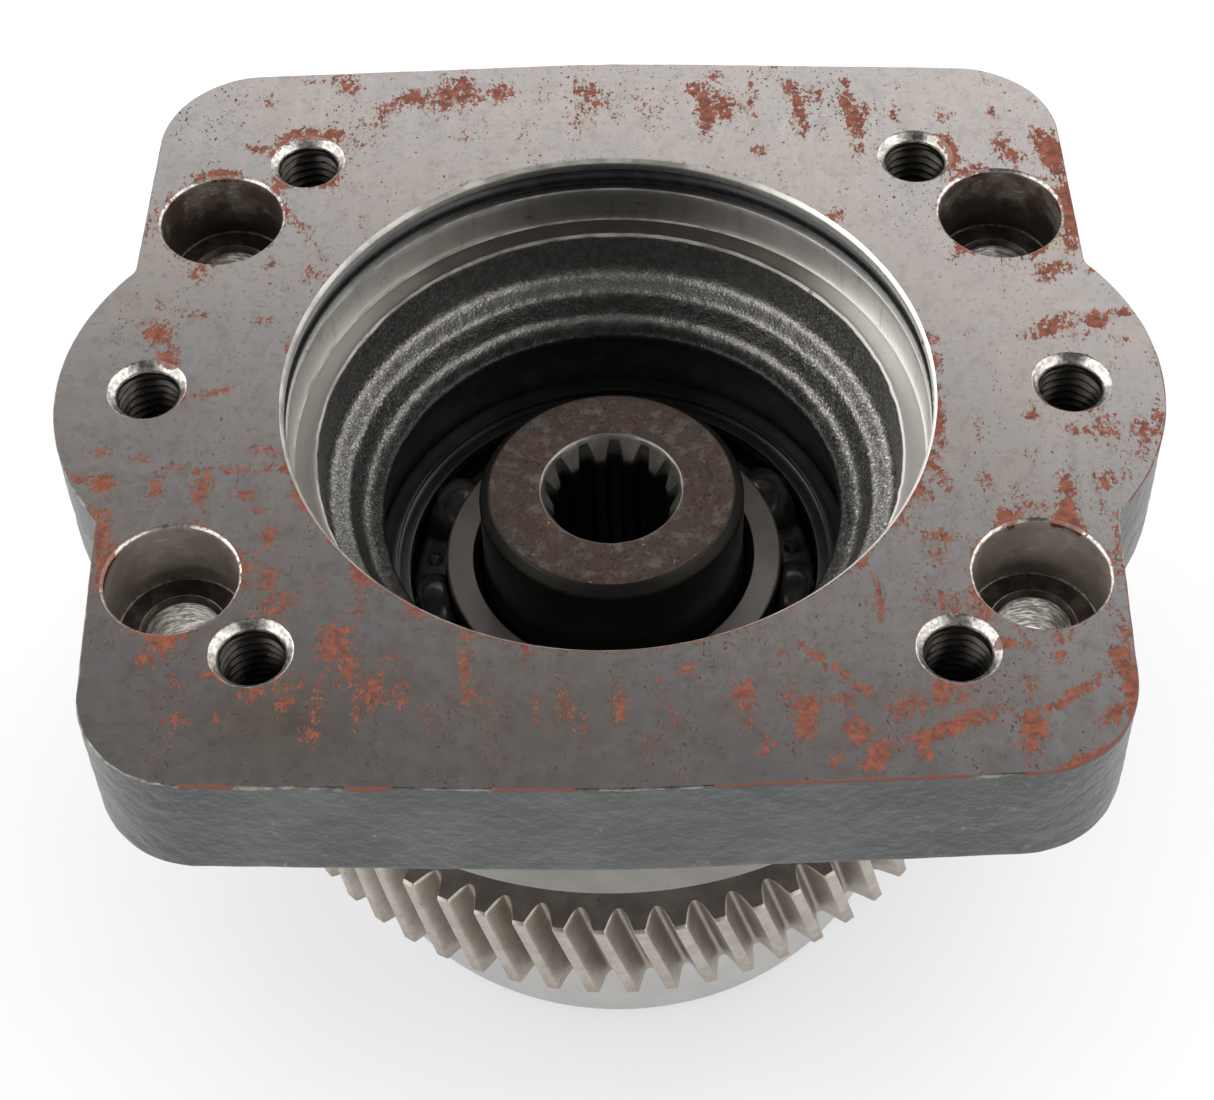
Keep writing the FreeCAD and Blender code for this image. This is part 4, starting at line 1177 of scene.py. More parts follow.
# ---------------------------------------------------------------------------
# rust map of the pump face: (x, y, half width, half height, tilt deg, amount)
# ---------------------------------------------------------------------------
RUST_SPOTS = [
    # far strip, left of the middle
    (-66, 89, 3, 1, 0, .6), (-57, 87, 3, 3, 0, .8), (-59, 90, 3, 1, 0, .7),
    (-74, 83, 2, 2, 0, .7), (-47, 81, 5, 2, 20, .7), (-43, 84, 3, 2.5, 0, .9),
    (-40, 82, 1.5, 3, 0, .7), (-36, 84, 2, 6, 0, .9), (-32, 86, 2, 6, 0, .9),
    (-29, 84, 1.5, 3, 0, .6), (-24, 85, 3, 3, 20, .9), (-14, 83, 3, 1, 0, .6),
    (-7, 86, 1.5, 4, 0, .7), (-4, 83, 1.2, 7, 0, .8), (-7, 77, 1, 5, 0, .7),
    (-1, 82, 1, 3, 0, .6), (1, 78, 1.5, 4, 0, .5), (-19, 72, 1, 3, 0, .5),
    (-31, 71, 1, 3, 0, .6), (-49, 76, 1.5, 5, 0, .6), (-53, 75, 2, 3, 0, .5),
    (-54, 69, 3, 2, 0, .5), (-27, 75, 1, 3, 0, .4), (-50, 71, 1, 2, 0, .5),
    (-82, 80, 2, 1, 0, .4), (-79, 75, 1.5, 2, 30, .5), (-94, 72, 2, 1, 0, .4),
    (-15, 88, 1, 3, 0, .4), (-10, 74, 1, 3, 0, .4), (-64, 81, 1, 1, 0, .5),
    # far strip, right of the middle
    (4, 84, 4, 4, 0, .35), (8, 79, 5, 5, 0, .4), (13, 83, 3, 4, 0, .35),
    (18, 85, 2, 3, 0, .8), (20, 78, 1.5, 8, 0, 1.), (24, 80, 3, 5, 0, .9),
    (22, 90, 1.5, 2, 0, .8), (30, 82, 1, 8, 0, .7), (31, 66, 1.5, 2, 0, .8),
    (38, 86, 1.5, 3, 20, .9), (40, 79, 1.5, 6, 0, .9), (41, 73, 1, 4, 0, .7),
    (44, 83, 1.5, 2, 0, .9), (45, 73, 1, 6, 0, .5), (50, 87, 1, 3, 0, .8),
    (50, 81, 1.5, 4, 0, .9), (52, 75, 2, 5, 0, 1.), (52, 66, 1.5, 4, 0, .7),
    (55, 79, 2, 2, 0, .6), (60, 77, 1.2, 3, 10, .8), (62, 86, 1.5, 1, 0, .6),
    (36, 59, 1, 4, 0, .5), (48, 55, 1, 3, 0, .5), (47, 47, 1.5, 2, -30, .8),
    (35, 92, 1.5, 1, 0, .7), (80, 89, 1, 3, 0, .5), (81, 78, 1.2, 3, 15, .7),
    (90, 81, 1, 2, 0, .5), (10, 73, 5, 3, 0, .3), (27, 72, 4, 4, 0, .3),
    # right side
    (71, 76, 2, 2, 0, .7), (71, 68, 1.5, 3, 0, .8), (72, 63, 1.5, 4, 0, .7),
    (76, 60, 3, 3, 0, .5), (82, 68, 2, 2, 0, .9), (84, 64, 3, 2, -30, .9),
    (83, 72, 2, 1, 0, .5), (90, 70, 1.5, 3, 0, .9), (92.5, 65, 2.5, 5, 0, 1.2),
    (93.5, 59, 1.5, 3, 0, .8), (94.6, 52, 1.3, 4, 0, 1.1),
    (95.3, 44, 1.2, 6, 0, 1.1), (94, 38, 1.5, 3, 0, .8), (87, 37, 1.5, 3, -20, .8),
    (90, 31, 4, 1.5, 5, 1.), (88, 28, 2, 1, 0, .8), (80, 31, 3, 1.5, 0, .4),
    (71, 36, 1.5, 3, -30, .7), (98, 30, 1.5, 1, 0, .8), (61, 43, 1.5, 3, 0, .3),
    (88, 15, 4, 2.5, 20, .9), (84, 12, 3, 1.2, 0, .7), (97, 16.5, 2.5, 2, 20, 1.1),
    (92, 18, 2, 1, 0, .6), (103, 18.5, 3, .8, 5, 1.), (101, 11, 2.5, .8, 0, .8),
    (93, 12, 3, 1, 20, .6), (64, 12, 1.5, 1.5, 0, .7), (65, 6, 1, 3, 0, .7),
    (107.6, 8, .8, 8, 0, .6), (71, 13, 2, 1, 0, .4), (100, 5, 2, 2, 0, .4),
    # left side
    (-66, 73, 5, 1.3, 5, .9), (-59, 72.5, 3, 1.5, 0, .9), (-75, 68, 3, 1.2, -20, 1.),
    (-70, 70, 2, 1, 40, .7), (-82, 61, 4, 1, 0, .8), (-87, 60, 2, 1, 0, .6),
    (-69, 57, 1.5, 2.5, 0, .7), (-59, 58, 2, 4, 0, .7), (-64, 45, 7, .9, -55, .7),
    (-60, 38, 5, .8, -58, .5), (-69, 34, 1.2, 1.5, 0, .9), (-61, 31, 1.2, 3, 0, .7),
    (-58, 32, 1, 2, 0, .5), (-84, 31, 2.5, 2, 0, .8), (-85, 37, 4, .6, -20, .5),
    (-90, 33, 1, 2, 0, .5), (-51, 46, .8, 2, 0, .5), (-52, 56, .8, 3, 0, .4),
    (-91, 23, 1.5, 1, 0, .8), (-90, 15, 3, 3, -30, 1.), (-87, 9, 2, 3, 0, .9),
    (-83, 20, 5, .8, -15, .8), (-94, 18, 2, 1, 0, .5), (-69, 18, 4, 1.5, -20, .6),
    (-65, 12, 2, 3, 0, .4), (-78, 22, 3, 2, 0, .35), (-77, -1, 5, .8, 12, .9),
    (-66, 26, 3, 3, 0, .35), (-97, 12, 2, 1, 0, .5), (-74, 10, 4, 5, 0, .3),
    (-95.5, 45, .8, 8, 0, .5), (-57, 24, 1.5, 3, 0, .5), (-75, 43, 2, 2, 0, .35),
    (-53, 64, 1.5, 3, 0, .4), (-64, 60, 1, 1, 0, .4), (-92, 53, 1, 2, 0, .5),
    # left lobe and below it
    (-97, -16, 3, .8, 0, .8), (-90, -18, 3, .8, 0, .7), (-104, -22, 3, 1.5, 0, .6),
    (-96, -24, 2, 2.5, 0, 1.), (-100, -23, 3, 1, 0, .7), (-86, -25, 2, 4, 0, .7),
    (-77, -26, 2, 5, 0, .8), (-82, -20, 4, 1, 0, .6), (-71, -21, 5, .8, 0, .8),
    (-62, -20.5, 5, .5, 0, 1.), (-66, -16, 3, .8, -10, .8), (-68, -27, 3, 1.2, 0, .8),
    (-58, -28, 1.5, 2, 0, .8), (-66, -31, 2, 1, 0, .6), (-94.5, -36, 1.2, 6, 0, .9),
    (-93, -44, 1, 5, 0, .8), (-97, -31, 2, 2, 0, .6), (-63, -37, 1.2, 3, 0, .9),
    (-66, -44, 2, 6, 0, .45), (-62, -47, 2, 3, 0, .7), (-60, -53, 4, 3, 0, .65),
    (-52, -50, .8, 5, 0, .5), (-45, -47, 1.5, 3, 0, .8), (-45, -54, 1, 5, 0, .6),
    (-49, -62, 3, 5, 0, .8), (-46, -68, 2, 4, 0, .7), (-80, -62, 3, 3, 0, .8),
    (-83, -66, 2, 2, 0, .7), (-88, -61, 2, 1, 0, .5), (-77, -71, 2, 1.5, 0, .6),
    (-70, -69, 3, 1.5, 0, .5), (-63, -74, 3, 1.2, 0, .7), (-76, -79, 3, 1, 0, .8),
    (-69, -79, 2, 1, 20, .6), (-57, -76, 1.5, 1.5, 0, .9), (-56, -72, 4, 2, 20, .6),
    (-51, -75, .8, 8, 0, .7), (-52, -82.5, 1.6, 1.2, 0, .9), (-44, -76, 1, 7, 0, .6),
    (-41, -73, 1.5, 4, 0, .9), (-36, -74, 1.5, 4, 0, .7), (-38, -66, 3, 2, 0, .5),
    (-31, -78, 1.5, 5, 0, .45), (-35, -56, 1.5, 3, 0, .5), (-80, -74, 3, 4, 0, .3),
    # near strip
    (-25, -66, .8, 6, 0, .8), (-24, -74, 1.5, 3, 0, .7), (-20, -76, 1, 6, 0, .5),
    (-14, -66, 1, 3, 0, .5), (-12, -77, .8, 6, 0, .6), (-7, -76, 1.2, 4, 0, .7),
    (-4, -81, 1, 4, 0, .6), (3, -77, 1.2, 4, 0, .8), (2, -71, 2, 2, 0, .4),
    (8, -84, 2, 2, 0, .5), (15, -68.5, 1.2, 1.2, 0, 1.), (13, -79, 2, 3, 0, .5),
    (10, -73, 1.5, 4, 0, .4), (25, -74, 2, 3, 0, .9), (26, -80, 1.5, 2, 0, .7),
    (32, -66, .8, 2.5, 0, .6), (40, -67, 8, .7, -42, .9), (43, -75, 1.5, 2, 0, .8),
    (33, -74, 2, 3, 0, .5), (36, -80, 2, 4, 0, .9), (29, -85, 2, 3, 0, .6),
    (37, -76, 2, 1.5, 0, .8), (45, -82, 2.5, 3, 30, .9), (48, -88, 1.5, 4, -30, 1.),
    (41, -88, 2, 2, 0, .7), (47, -73, 2.5, 1, -30, .7), (52, -78, 2, 3, 0, .6),
    (55, -76, 2, 2, 0, .8), (60, -82, 7, 1.1, 22, 1.1), (57, -86, .8, 4, 0, .9),
    (60, -74, 1.5, 3, 0, .9), (66, -79, 3, 1, 0, .8), (64, -75, 2, 2, 0, .6),
    (50, -53, .9, 5, 0, .8), (48, -45, 1, 2, 0, .5), (63, -53, 4, 2, 0, .7),
    (58, -50, 1.5, 2, 0, .5), (62, -38, 4, 1.5, 0, .7), (62, -43, 2, 3, 0, .6),
    (66, -66, 2, 4, 0, .7), (71, -63, 3, .8, 0, .8), (75, -63, 3, 1.5, 0, .5),
    (82, -66, 1.3, 1, 0, 1.), (83, -62, 1.5, 1, 0, .7), (76, -72, 1, 3, 0, .7),
    (84, -74, 8, .9, 35, .9), (76, -81, 2, 3, 0, 1.1), (75, -86, 1.5, 2, 0, .8),
    (70, -78, 3, 2, 0, .5), (92, -66, 1.5, 3, 0, .8), (94, -72, 1.2, 6, 0, 1.2),
    (90, -79, 3, 1.2, 40, 1.), (85, -88, 7, .9, 24, 1.), (94, -60, 1.2, 4, 0, .7),
    # right lobe and below it
    (64, -10, 1.2, 8, 0, .8), (63, -22, .9, 7, 22, .8), (60, -28, 2, 3, 0, .6),
    (71, -12, 1, 3, 0, .5), (72, -25, 1.5, 2.5, 0, .7), (87, -27, 1.5, 5, 0, .9),
    (86.5, -34, 2, 3, 0, 1.), (94, -25, 2, 2.5, 0, .8), (93, -31, 1, 2, 0, .6),
    (96, -12, 3, 4, 0, .7), (90, -12, 3, 1.5, 0, .7), (82, -8, 1.5, 1.5, 0, .8),
    (103, -13, 2, 4, 0, .8), (101, -19, 3, 1, 0, .7), (106.5, -10, 1, 5, 0, .8),
    (98, -24, 1.5, 2, 0, .6), (75, -33, 2, 2, 0, .8), (81, -19, 1, 2, 0, .6),
    (78, -27, 2, 2, 0, .5), (80, -31, 3, 1, 0, .7), (66, -32, 2, 2, 0, .4),
    (56, -36, 1.2, 3, 0, .5), (95.6, -40, .9, 8, 0, .7), (69, -56, 1.5, 3, 0, .5),
]
# the bare rim of the face that has rusted: (x0, x1) along the near edge
NEAR_EDGE_RUST = [(-76, -63, .9), (-56, -51, .7), (-46, -35, .9), (-21, -3, .9),
                  (5, 12, .5), (18, 66, 1.0), (72, 80, .6)]


def rust_amount(x, y):
    out = np.zeros_like(x)
    for cx, cy, a, b, tilt, s in RUST_SPOTS:
        near = (np.abs(x - cx) < 16) & (np.abs(y - cy) < 16)
        if not near.any():
            continue
        t = math.radians(tilt)
        dx, dy = x[near] - cx, y[near] - cy
        u = dx * math.cos(t) + dy * math.sin(t)
        v = -dx * math.sin(t) + dy * math.cos(t)
        g = s * np.exp(-0.75 * ((u / (a + .4)) ** 2 + (v / (b + .4)) ** 2))
        out[near] = np.maximum(out[near], g) + 0.25 * np.minimum(out[near], g)
    # thin rust round the rims of the holes
    for cx, cy in BOLTS:
        d = np.hypot(x - cx, y - cy) - 13.1
        out += 0.42 * np.exp(-(d / 1.3) ** 2) * (d > -1)
    for cx, cy in TAPS:
        d = np.hypot(x - cx, y - cy) - 7.7
        out += 0.36 * np.exp(-(d / 1.2) ** 2) * (d > -1)
    d = np.hypot(x, y) - 64.2
    side = 0.30 + 0.25 * (y < -20) + 0.15 * (y > 55)
    out += side * np.exp(-(d / 0.9) ** 2) * (d > -1)
    return out


def edge_rust(x, y):
    out = np.full_like(x, 0.22)
    for x0, x1, s in NEAR_EDGE_RUST:
        k = np.clip((x - x0) / 3, 0, 1) * np.clip((x1 - x) / 3, 0, 1)
        out = np.maximum(out, s * k * (y < -86))
    out = np.maximum(out, 1.0 * ((x > 92) & (y < -45) & (y > -82)))
    out = np.maximum(out, 0.85 * ((x > 92) & (y > 34) & (y < 68)))
    out = np.maximum(out, 0.75 * ((x > 78) & (y < -80)))
    out = np.maximum(out, 0.55 * (y > 88))
    out = np.maximum(out, 0.55 * ((x > 98) & (y < 20) & (y > -30)))
    out = np.maximum(out, 0.6 * ((x < -90) & (y < -30) & (y > -55)))
    return out


# ---------------------------------------------------------------------------
# flange housing
# ---------------------------------------------------------------------------
def build_housing(M):
    g = Geo()
    (FACE, PAINT, BORE, SHELF, CAST, INNER, CBW, SEAT, DRILL, CHAM, THREAD,
     SPIG, UNDER, EDGE) = range(14)
    # --- side wall ---
    NS = 820
    P, N = outline(NS)
    P3 = np.concatenate([P, np.zeros((NS, 1))], 1)
    edge = 0.27 + 0.14 * fnoise(P3, 9.0, 3, 3) + 0.10 * fnoise(P3, 2.2, 2, 5)
    edge = np.clip(edge, 0.08, 0.7)
    drop = np.clip(0.38 + 0.22 * fnoise(P3, 5.0, 3, 9), 0.12, 0.8)
    body = np.linspace(0.0, 1.0, 27)[1:]
    rows = [(edge, np.zeros(NS)),
            (edge * 0.42, -drop * 0.30),
            (edge * 0.10, -drop * 0.70),
            (np.zeros(NS), -drop)]
    for k in body:
        rows.append((np.zeros(NS), -drop + (-(FLANGE_T - 0.7) + drop) * k))
    for i in range(1, 4):
        a = PI / 2 * i / 3
        rows.append((np.full(NS, 0.7 * (1 - math.cos(a))),
                     np.full(NS, -(FLANGE_T - 0.7) - 0.7 * math.sin(a))))
    grid = np.zeros((NS, len(rows), 3))
    for j, (off, z) in enumerate(rows):
        q = P - N * off[:, None]
        grid[:, j, 0], grid[:, j, 1], grid[:, j, 2] = q[:, 0], q[:, 1], z
    wav = (0.17 * fnoise(grid, (9.0, 9.0, 6.0), 3, 21)
           + 0.17 * fnoise(grid, (3.4, 3.4, 2.1), 3, 29))
    fade = np.clip(-grid[..., 2] / 1.2, 0, 1) * np.clip(
        (grid[..., 2] + FLANGE_T) / 0.6, 0, 1)
    shift = wav * fade
    grid[..., 0] += N[:, None, 0] * shift
    grid[..., 1] += N[:, None, 1] * shift
    g.grid(grid, PAINT, close_u=True)
    top_outer = grid[:, 0, :2].copy()
    low_outer = grid[:, -1, :2].copy()

    # --- everything turned about the shaft axis, one closed skin ---
    NT = 620
    cup = [(58.60, -17.55), (58.30, -21.8), (58.0, -25.2), (57.6, -26.7),
           (56.7, -27.75), (55.4, -28.25), (54.2, -28.6), (53.3, -29.2),
           (52.7, -30.3), (52.1, -31.8), (51.5, -33.2), (50.8, -34.3),
           (49.8, -34.95), (48.6, -35.2), (47.6, -35.45), (47.0, -36.0),
           (46.8, -37.0)]
    prof, mats = [], []

    def run(pts, mat):
        """Appends points; the faces up to each new point get mat."""
        for p in pts:
            if prof and math.hypot(p[0] - prof[-1][0], p[1] - prof[-1][1]) < 1e-6:
                continue
            prof.append((float(p[0]), float(p[1])))
            if len(prof) > 1:
                mats.append(mat)

    # outside, downwards
    run([(80.0, -27.0)], SPIG)
    run([(80.0, -29.0), (80.0, -30.75), (79.75, -31.0)], SPIG)
    run([(76.6, -31.0), (76.3, -31.3), (76.3, -35.7), (76.6, -36.0),
         (79.75, -36.0), (80.0, -36.25)], SPIG)
    run(spaced([(80.0, -36.25), (80.0, -57.0)], 4.2), SPIG)
    run(round_corner((80.0, -50.0), (80.0, -58.0), (79.5, -58.5), 0.15, 2), SPIG)
    run(round_corner((80.0, -58.0), (79.5, -58.5), (70.0, -58.5), 0.15, 2), SPIG)
    run([(72.0, -58.5), (63.0, -58.5)], UNDER)
    for i in range(1, 5):
        a = PI / 2 * i / 4
        run([(63.0 - 3.0 * math.sin(a), -58.5 - 3.0 * (1 - math.cos(a)))], UNDER)
    run([(60.0, -66.0), (60.0, -70.3), (59.8, -70.9), (59.2, -71.4),
         (58.6, -71.5), (51.1, -71.5), (50.8, -71.4), (50.05, -70.75),
         (50.0, -70.6)], UNDER)
    # bearing bore, upwards
    run([(50.0, -66.0), (50.0, -58.0), (50.0, -52.0), (50.0, -46.0),
         (50.0, -41.0), (49.9, -39.75), (49.7, -39.62)], INNER)
    run([(48.4, -39.0), (47.1, -38.55), (46.86, -38.2)], INNER)
    n_cast0 = len(prof) - 1
    up = cup[::-1]
    # smooth the cup profile with a Catmull-Rom line, 0.8 mm steps
    cp = np.array([(46.86, -38.2)] + up + [(58.7, -17.1)])
    pts = []
    for i in range(1, len(cp) - 2):
        p0, p1, p2, p3 = cp[i - 1], cp[i], cp[i + 1], cp[i + 2]
        k = max(2, int(np.hypot(*(p2 - p1)) / 0.72))
        for t in np.linspace(0, 1, k, endpoint=False):
            pts.append(0.5 * ((2 * p1) + (-p0 + p2) * t
                              + (2 * p0 - 5 * p1 + 4 * p2 - p3) * t * t
                              + (-p0 + 3 * p1 - 3 * p2 + p3) * t ** 3))
    pts.append(cp[-2])
    run(pts, CAST)
    n_cast1 = len(prof) - 1
    # shelf with its torn inner edge
    run([(58.74, -17.20), (59.15, -17.0)], EDGE)
    i_lip = len(prof) - 1
    run([(60.0, -17.0), (61.4, -17.0), (62.6, -17.0), (63.15, -17.0)], SHELF)
    run([(63.36, -16.90), (63.5, -16.62)], EDGE)
    run([(63.5, -15.0), (63.5, -12.5), (63.5, -10.3), (63.5, -8.55)], BORE)
    run([(63.60, -8.30), (63.82, -8.2)], EDGE)
    run([(66.0, -8.2), (68.3, -8.2), (68.6, -7.9), (68.6, -2.9), (68.3, -2.6),
         (66.0, -2.6), (63.78, -2.6), (63.58, -2.52), (63.5, -2.32)], BORE)
    run([(63.5, -1.6), (63.5, -0.92), (63.56, -0.74)], BORE)
    run([(63.80, -0.42), (64.04, -0.14), (64.24, 0.0)], EDGE)
    prof_a = np.array(prof)
    jc0, jc1 = n_cast0, n_cast1

    def dr(t, r, z):
        x, y = r * np.cos(t), r * np.sin(t)
        q = np.stack([x, y, z], -1)
        j = np.arange(r.shape[1])[None, :]
        w = np.clip((j - jc0) / 2.0, 0, 1) * np.clip((jc1 + 1 - j) / 2.0, 0, 1)
        w = w * (j >= jc0) * (j <= jc1)
        # normal of the profile line, pointing out of the iron
        d = np.gradient(prof_a, axis=0)
        d /= np.maximum(np.hypot(d[:, 0], d[:, 1]), 1e-9)[:, None]
        nr, nz = -d[:, 1], d[:, 0]
        a = (0.16 * fnoise(q, 6.0, 2, 41) + 0.13 * fnoise(q, 1.7, 3, 43)
             + 0.05 * vnoise(q, 0.75, 47))
        ddr, ddz = a * nr[None] * w, a * nz[None] * w
        # the lip of the shelf is where rough casting meets the cut
        lip = (j >= jc1) & (j <= i_lip)
        e = 0.17 * fnoise(q * [1, 1, 0], 2.6, 3, 51)
        ddr = ddr + np.where(lip, e, 0)
        # chamfer of the pilot bore, very slightly uneven
        top = (j >= len(prof) - 3)
        e2 = 0.035 * fnoise(q * [1, 1, 0], 5.0, 3, 57)
        ddr = ddr + np.where(top, e2, 0)
        return ddr, ddz

    G = rev_grid(prof_a, NT, dr=dr)
    G[:, -1, 2] = 0.0
    G[:, 0, :2] = G[:, 0, :2]
    g.grid(G, np.array(mats)[None, :], close_u=True)
    pilot_loop = G[:, -1, :2].copy()
    spigot_loop = G[:, 0, :2].copy()

    # --- threaded holes ---
    hole_loops = []
    NH = 44
    for hi, (hx, hy) in enumerate(TAPS):
        t = ring(NH)
        head = [(7.86, 0.0), (7.70, -0.07), (7.55, -0.22), (7.05, -0.74),
                (6.62, -1.18), (6.40, -1.42), (6.30, -1.62), (6.26, -1.95)]
        zs = list(np.arange(-2.35, -20.6, -0.34))
        tail = [(6.0, -21.0), (4.0, -22.2), (1.8, -23.5), (0.35, -24.4)]
        rows_r, rows_z, rm = [], [], []
        q = np.stack([np.cos(t) * 7 + hx, np.sin(t) * 7 + hy, t * 0], -1)
        rag = fnoise(q, 2.0, 3, 61 + hi)
        rag2 = fnoise(q, 5.0, 2, 91 + hi)
        for i, (r, z) in enumerate(head):
            amp = (0.14, 0.12, 0.08, 0.05, 0.07, 0.07, 0.04, 0.0)[i]
            rows_r.append(r + amp * (rag + 0.7 * rag2))
            rows_z.append(np.full(NH, z) + (0 if i == 0 else 0.03 * rag))
            rm.append(CHAM if i < 7 else DRILL)
        for z in zs:
            f = ((z / 2.0) + t / (2 * PI)) % 1.0
            # crest at 5.95, groove to 6.85, flanks at sixty degrees
            tri = np.abs(f - 0.5) * 2
            prof_t = np.clip((tri - 0.22) / 0.60, 0, 1)
            start = min(1.0, max(0.0, (-1.95 - z) / 1.6))
            end = min(1.0, max(0.0, (z + 21.0) / 1.5))
            r = 5.98 + 0.88 * prof_t * start * end
            r = np.where(start < 1, np.maximum(r, 6.26 - 0.28 * start), r)
            rows_r.append(r)
            rows_z.append(np.full(NH, z))
            rm.append(THREAD)
        for r, z in tail:
            rows_r.append(np.full(NH, r))
            rows_z.append(np.full(NH, z))
            rm.append(THREAD)
        R, Z = np.stack(rows_r, 1), np.stack(rows_z, 1)
        G = np.stack([hx + R * np.cos(t)[:, None], hy + R * np.sin(t)[:, None],
                      Z], -1)
        G[:, 0, 2] = 0.0
        g.grid(G, np.array(rm[1:])[None, :], close_u=True)
        # the drill point closes the hole
        c = g.add([[hx, hy, -24.7]])
        last = G[:, -1]
        k = g.add(last)
        f = np.array([[k + i, k + (i + 1) % NH, c, c] for i in range(NH)])
        g.f.append(f)
        g.m.append(np.full(NH, THREAD))
        hole_loops.append(G[:, 0, :2].copy())

    # --- counterbored bolt holes ---
    low_loops = []
    NB = 72
    for bi, (bx, by) in enumerate(BOLTS):
        t = ring(NB)
        pr = [(13.12, 0.0, CHAM), (12.96, -0.08, CHAM), (12.70, -0.32, CHAM),
              (12.55, -0.55, CHAM), (12.50, -0.85, CBW), (12.5, -2.6, CBW),
              (12.5, -4.6, CBW), (12.5, -6.6, CBW), (12.5, -8.6, CBW),
              (12.5, -10.6, CBW), (12.5, -12.6, CBW), (12.5, -14.4, CBW),
              (12.48, -15.65, CBW), (12.38, -15.90, CHAM), (12.15, -16.0, CHAM),
              (11.2, -16.0, SEAT), (10.0, -16.0, SEAT), (8.45, -16.0, SEAT),
              (8.30, -16.04, CHAM), (7.85, -16.44, SEAT), (7.34, -16.96, SEAT),
              (7.25, -17.12, CHAM), (7.25, -18.4, DRILL), (7.25, -20.0, DRILL),
              (7.25, -22.0, DRILL), (7.25, -24.2, DRILL), (7.25, -25.6, DRILL),
              (7.29, -26.1, DRILL), (8.25, -27.0, DRILL)]
        q = np.stack([np.cos(t) * 12.5 + bx, np.sin(t) * 12.5 + by, t * 0], -1)
        rag = fnoise(q, 2.2, 3, 71 + bi)
        R, Z, rm = [], [], []
        for i, (r, z, mm) in enumerate(pr):
            amp = 0.11 if i < 2 else (0.06 if i < 5 else 0.0)
            rr = r + amp * rag
            if mm == CBW and i > 4:
                qq = np.stack([np.cos(t) * 12.5 + bx, np.sin(t) * 12.5 + by,
                               t * 0 + z], -1)
                rr = rr + 0.035 * fnoise(qq, (4.0, 4.0, 1.5), 2, 77)
            if mm == DRILL and z > -25:
                qq = np.stack([np.cos(t) * 7 + bx, np.sin(t) * 7 + by,
                               t * 0 + z], -1)
                rr = rr + 0.06 * fnoise(qq, (2.5, 2.5, 1.2), 2, 79)
            R.append(rr)
            Z.append(np.full(NB, z))
            rm.append(mm)
        R, Z = np.stack(R, 1), np.stack(Z, 1)
        G = np.stack([bx + R * np.cos(t)[:, None], by + R * np.sin(t)[:, None],
                      Z], -1)
        g.grid(G, np.array(rm[1:])[None, :], close_u=True)
        hole_loops.append(G[:, 0, :2].copy())
        low_loops.append(G[:, -1, :2].copy())

    plane_fill(g, 0.0, top_outer, [pilot_loop] + hole_loops, 1.55, FACE, 5)
    plane_fill(g, -FLANGE_T, low_outer, [spigot_loop] + low_loops, 5.0, UNDER, 6)
    me = g.build("flange_housing_skin")
    finish_mesh(me, M)
    split_materials(me, FACE)
    split_materials(me, UNDER)
    co = coords(me)
    x, y, z = co.T
    near_top = z > -3.0
    rust = np.zeros(len(co))
    rust[near_top] = rust_amount(x[near_top], y[near_top])
    set_attr(me, "rust", np.clip(rust, 0, 1.6))
    set_attr(me, "edge_rust", edge_rust(x, y))
    set_attr(me, "wear", np.clip(fnoise(co, 12.0, 2, 83), 0, 1)
             + 1.1 * np.exp(-(((x - 92) / 9) ** 2 + ((y + 80) / 12) ** 2)))
    st = np.zeros(len(co))
    for cx, cy, a, b, s in ((-57, -80, 13, 7, .9), (-40, -72, 6, 6, .5),
                            (-86, -3, 9, 5, .45), (56, -75, 10, 6, .3),
                            (-8, -78, 12, 8, .35), (20, -80, 10, 6, .3),
                            (85, 40, 8, 6, .3), (-84, 62, 6, 4, .3)):
        st = np.maximum(st, s * np.exp(-((x - cx) / a) ** 2 - ((y - cy) / b) ** 2))
    set_attr(me, "stain", st * (z > -1))
    return put("flange_housing_skin", me, "housing", "cast_housing",
               "flange_housing")


# ---------------------------------------------------------------------------
# gear shaft
# ---------------------------------------------------------------------------
GEAR_N, GEAR_TIP, GEAR_ROOT = 61, 79.6, 73.9
GEAR_TOP, GEAR_BOTTOM, GEAR_TWIST, GEAR_PHASE = -74.0, -98.5, 4.73, -97.9


def tooth_line():
    """(radius, angle as a share of the pitch) once round one tooth."""
    half = [(73.90, .500), (73.92, .455), (74.10, .418), (74.50, .388),
            (75.20, .345), (76.10, .303), (77.10, .258), (78.10, .214),
            (78.90, .180), (79.40, .158), (79.56, .146), (79.60, .130)]
    left = [(r, -f) for r, f in half]
    right = [(r, f) for r, f in half[::-1]]
    return left + [(79.60, 0.0)] + right[:-1]


def gear_ring(turn, chamfer=0.0):
    """Closed outline points of the gear at one height."""
    line = tooth_line()
    step = 2 * PI / GEAR_N
    R = np.array([p[0] for p in line])
    F = np.array([p[1] for p in line])
    if chamfer:
        R = np.maximum(R - chamfer * np.clip((R - 73.9) / 2.0, 0, 1),
                       73.9 - chamfer * 0.5)
        F = F * (1 - 0.11 * chamfer * np.clip((R - 74.2) / 2.0, 0, 1))
    c = (np.arange(GEAR_N) * step + math.radians(GEAR_PHASE + turn))[:, None]
    a = (c + F[None] * step).ravel()
    r = np.tile(R, GEAR_N)
    return a, r


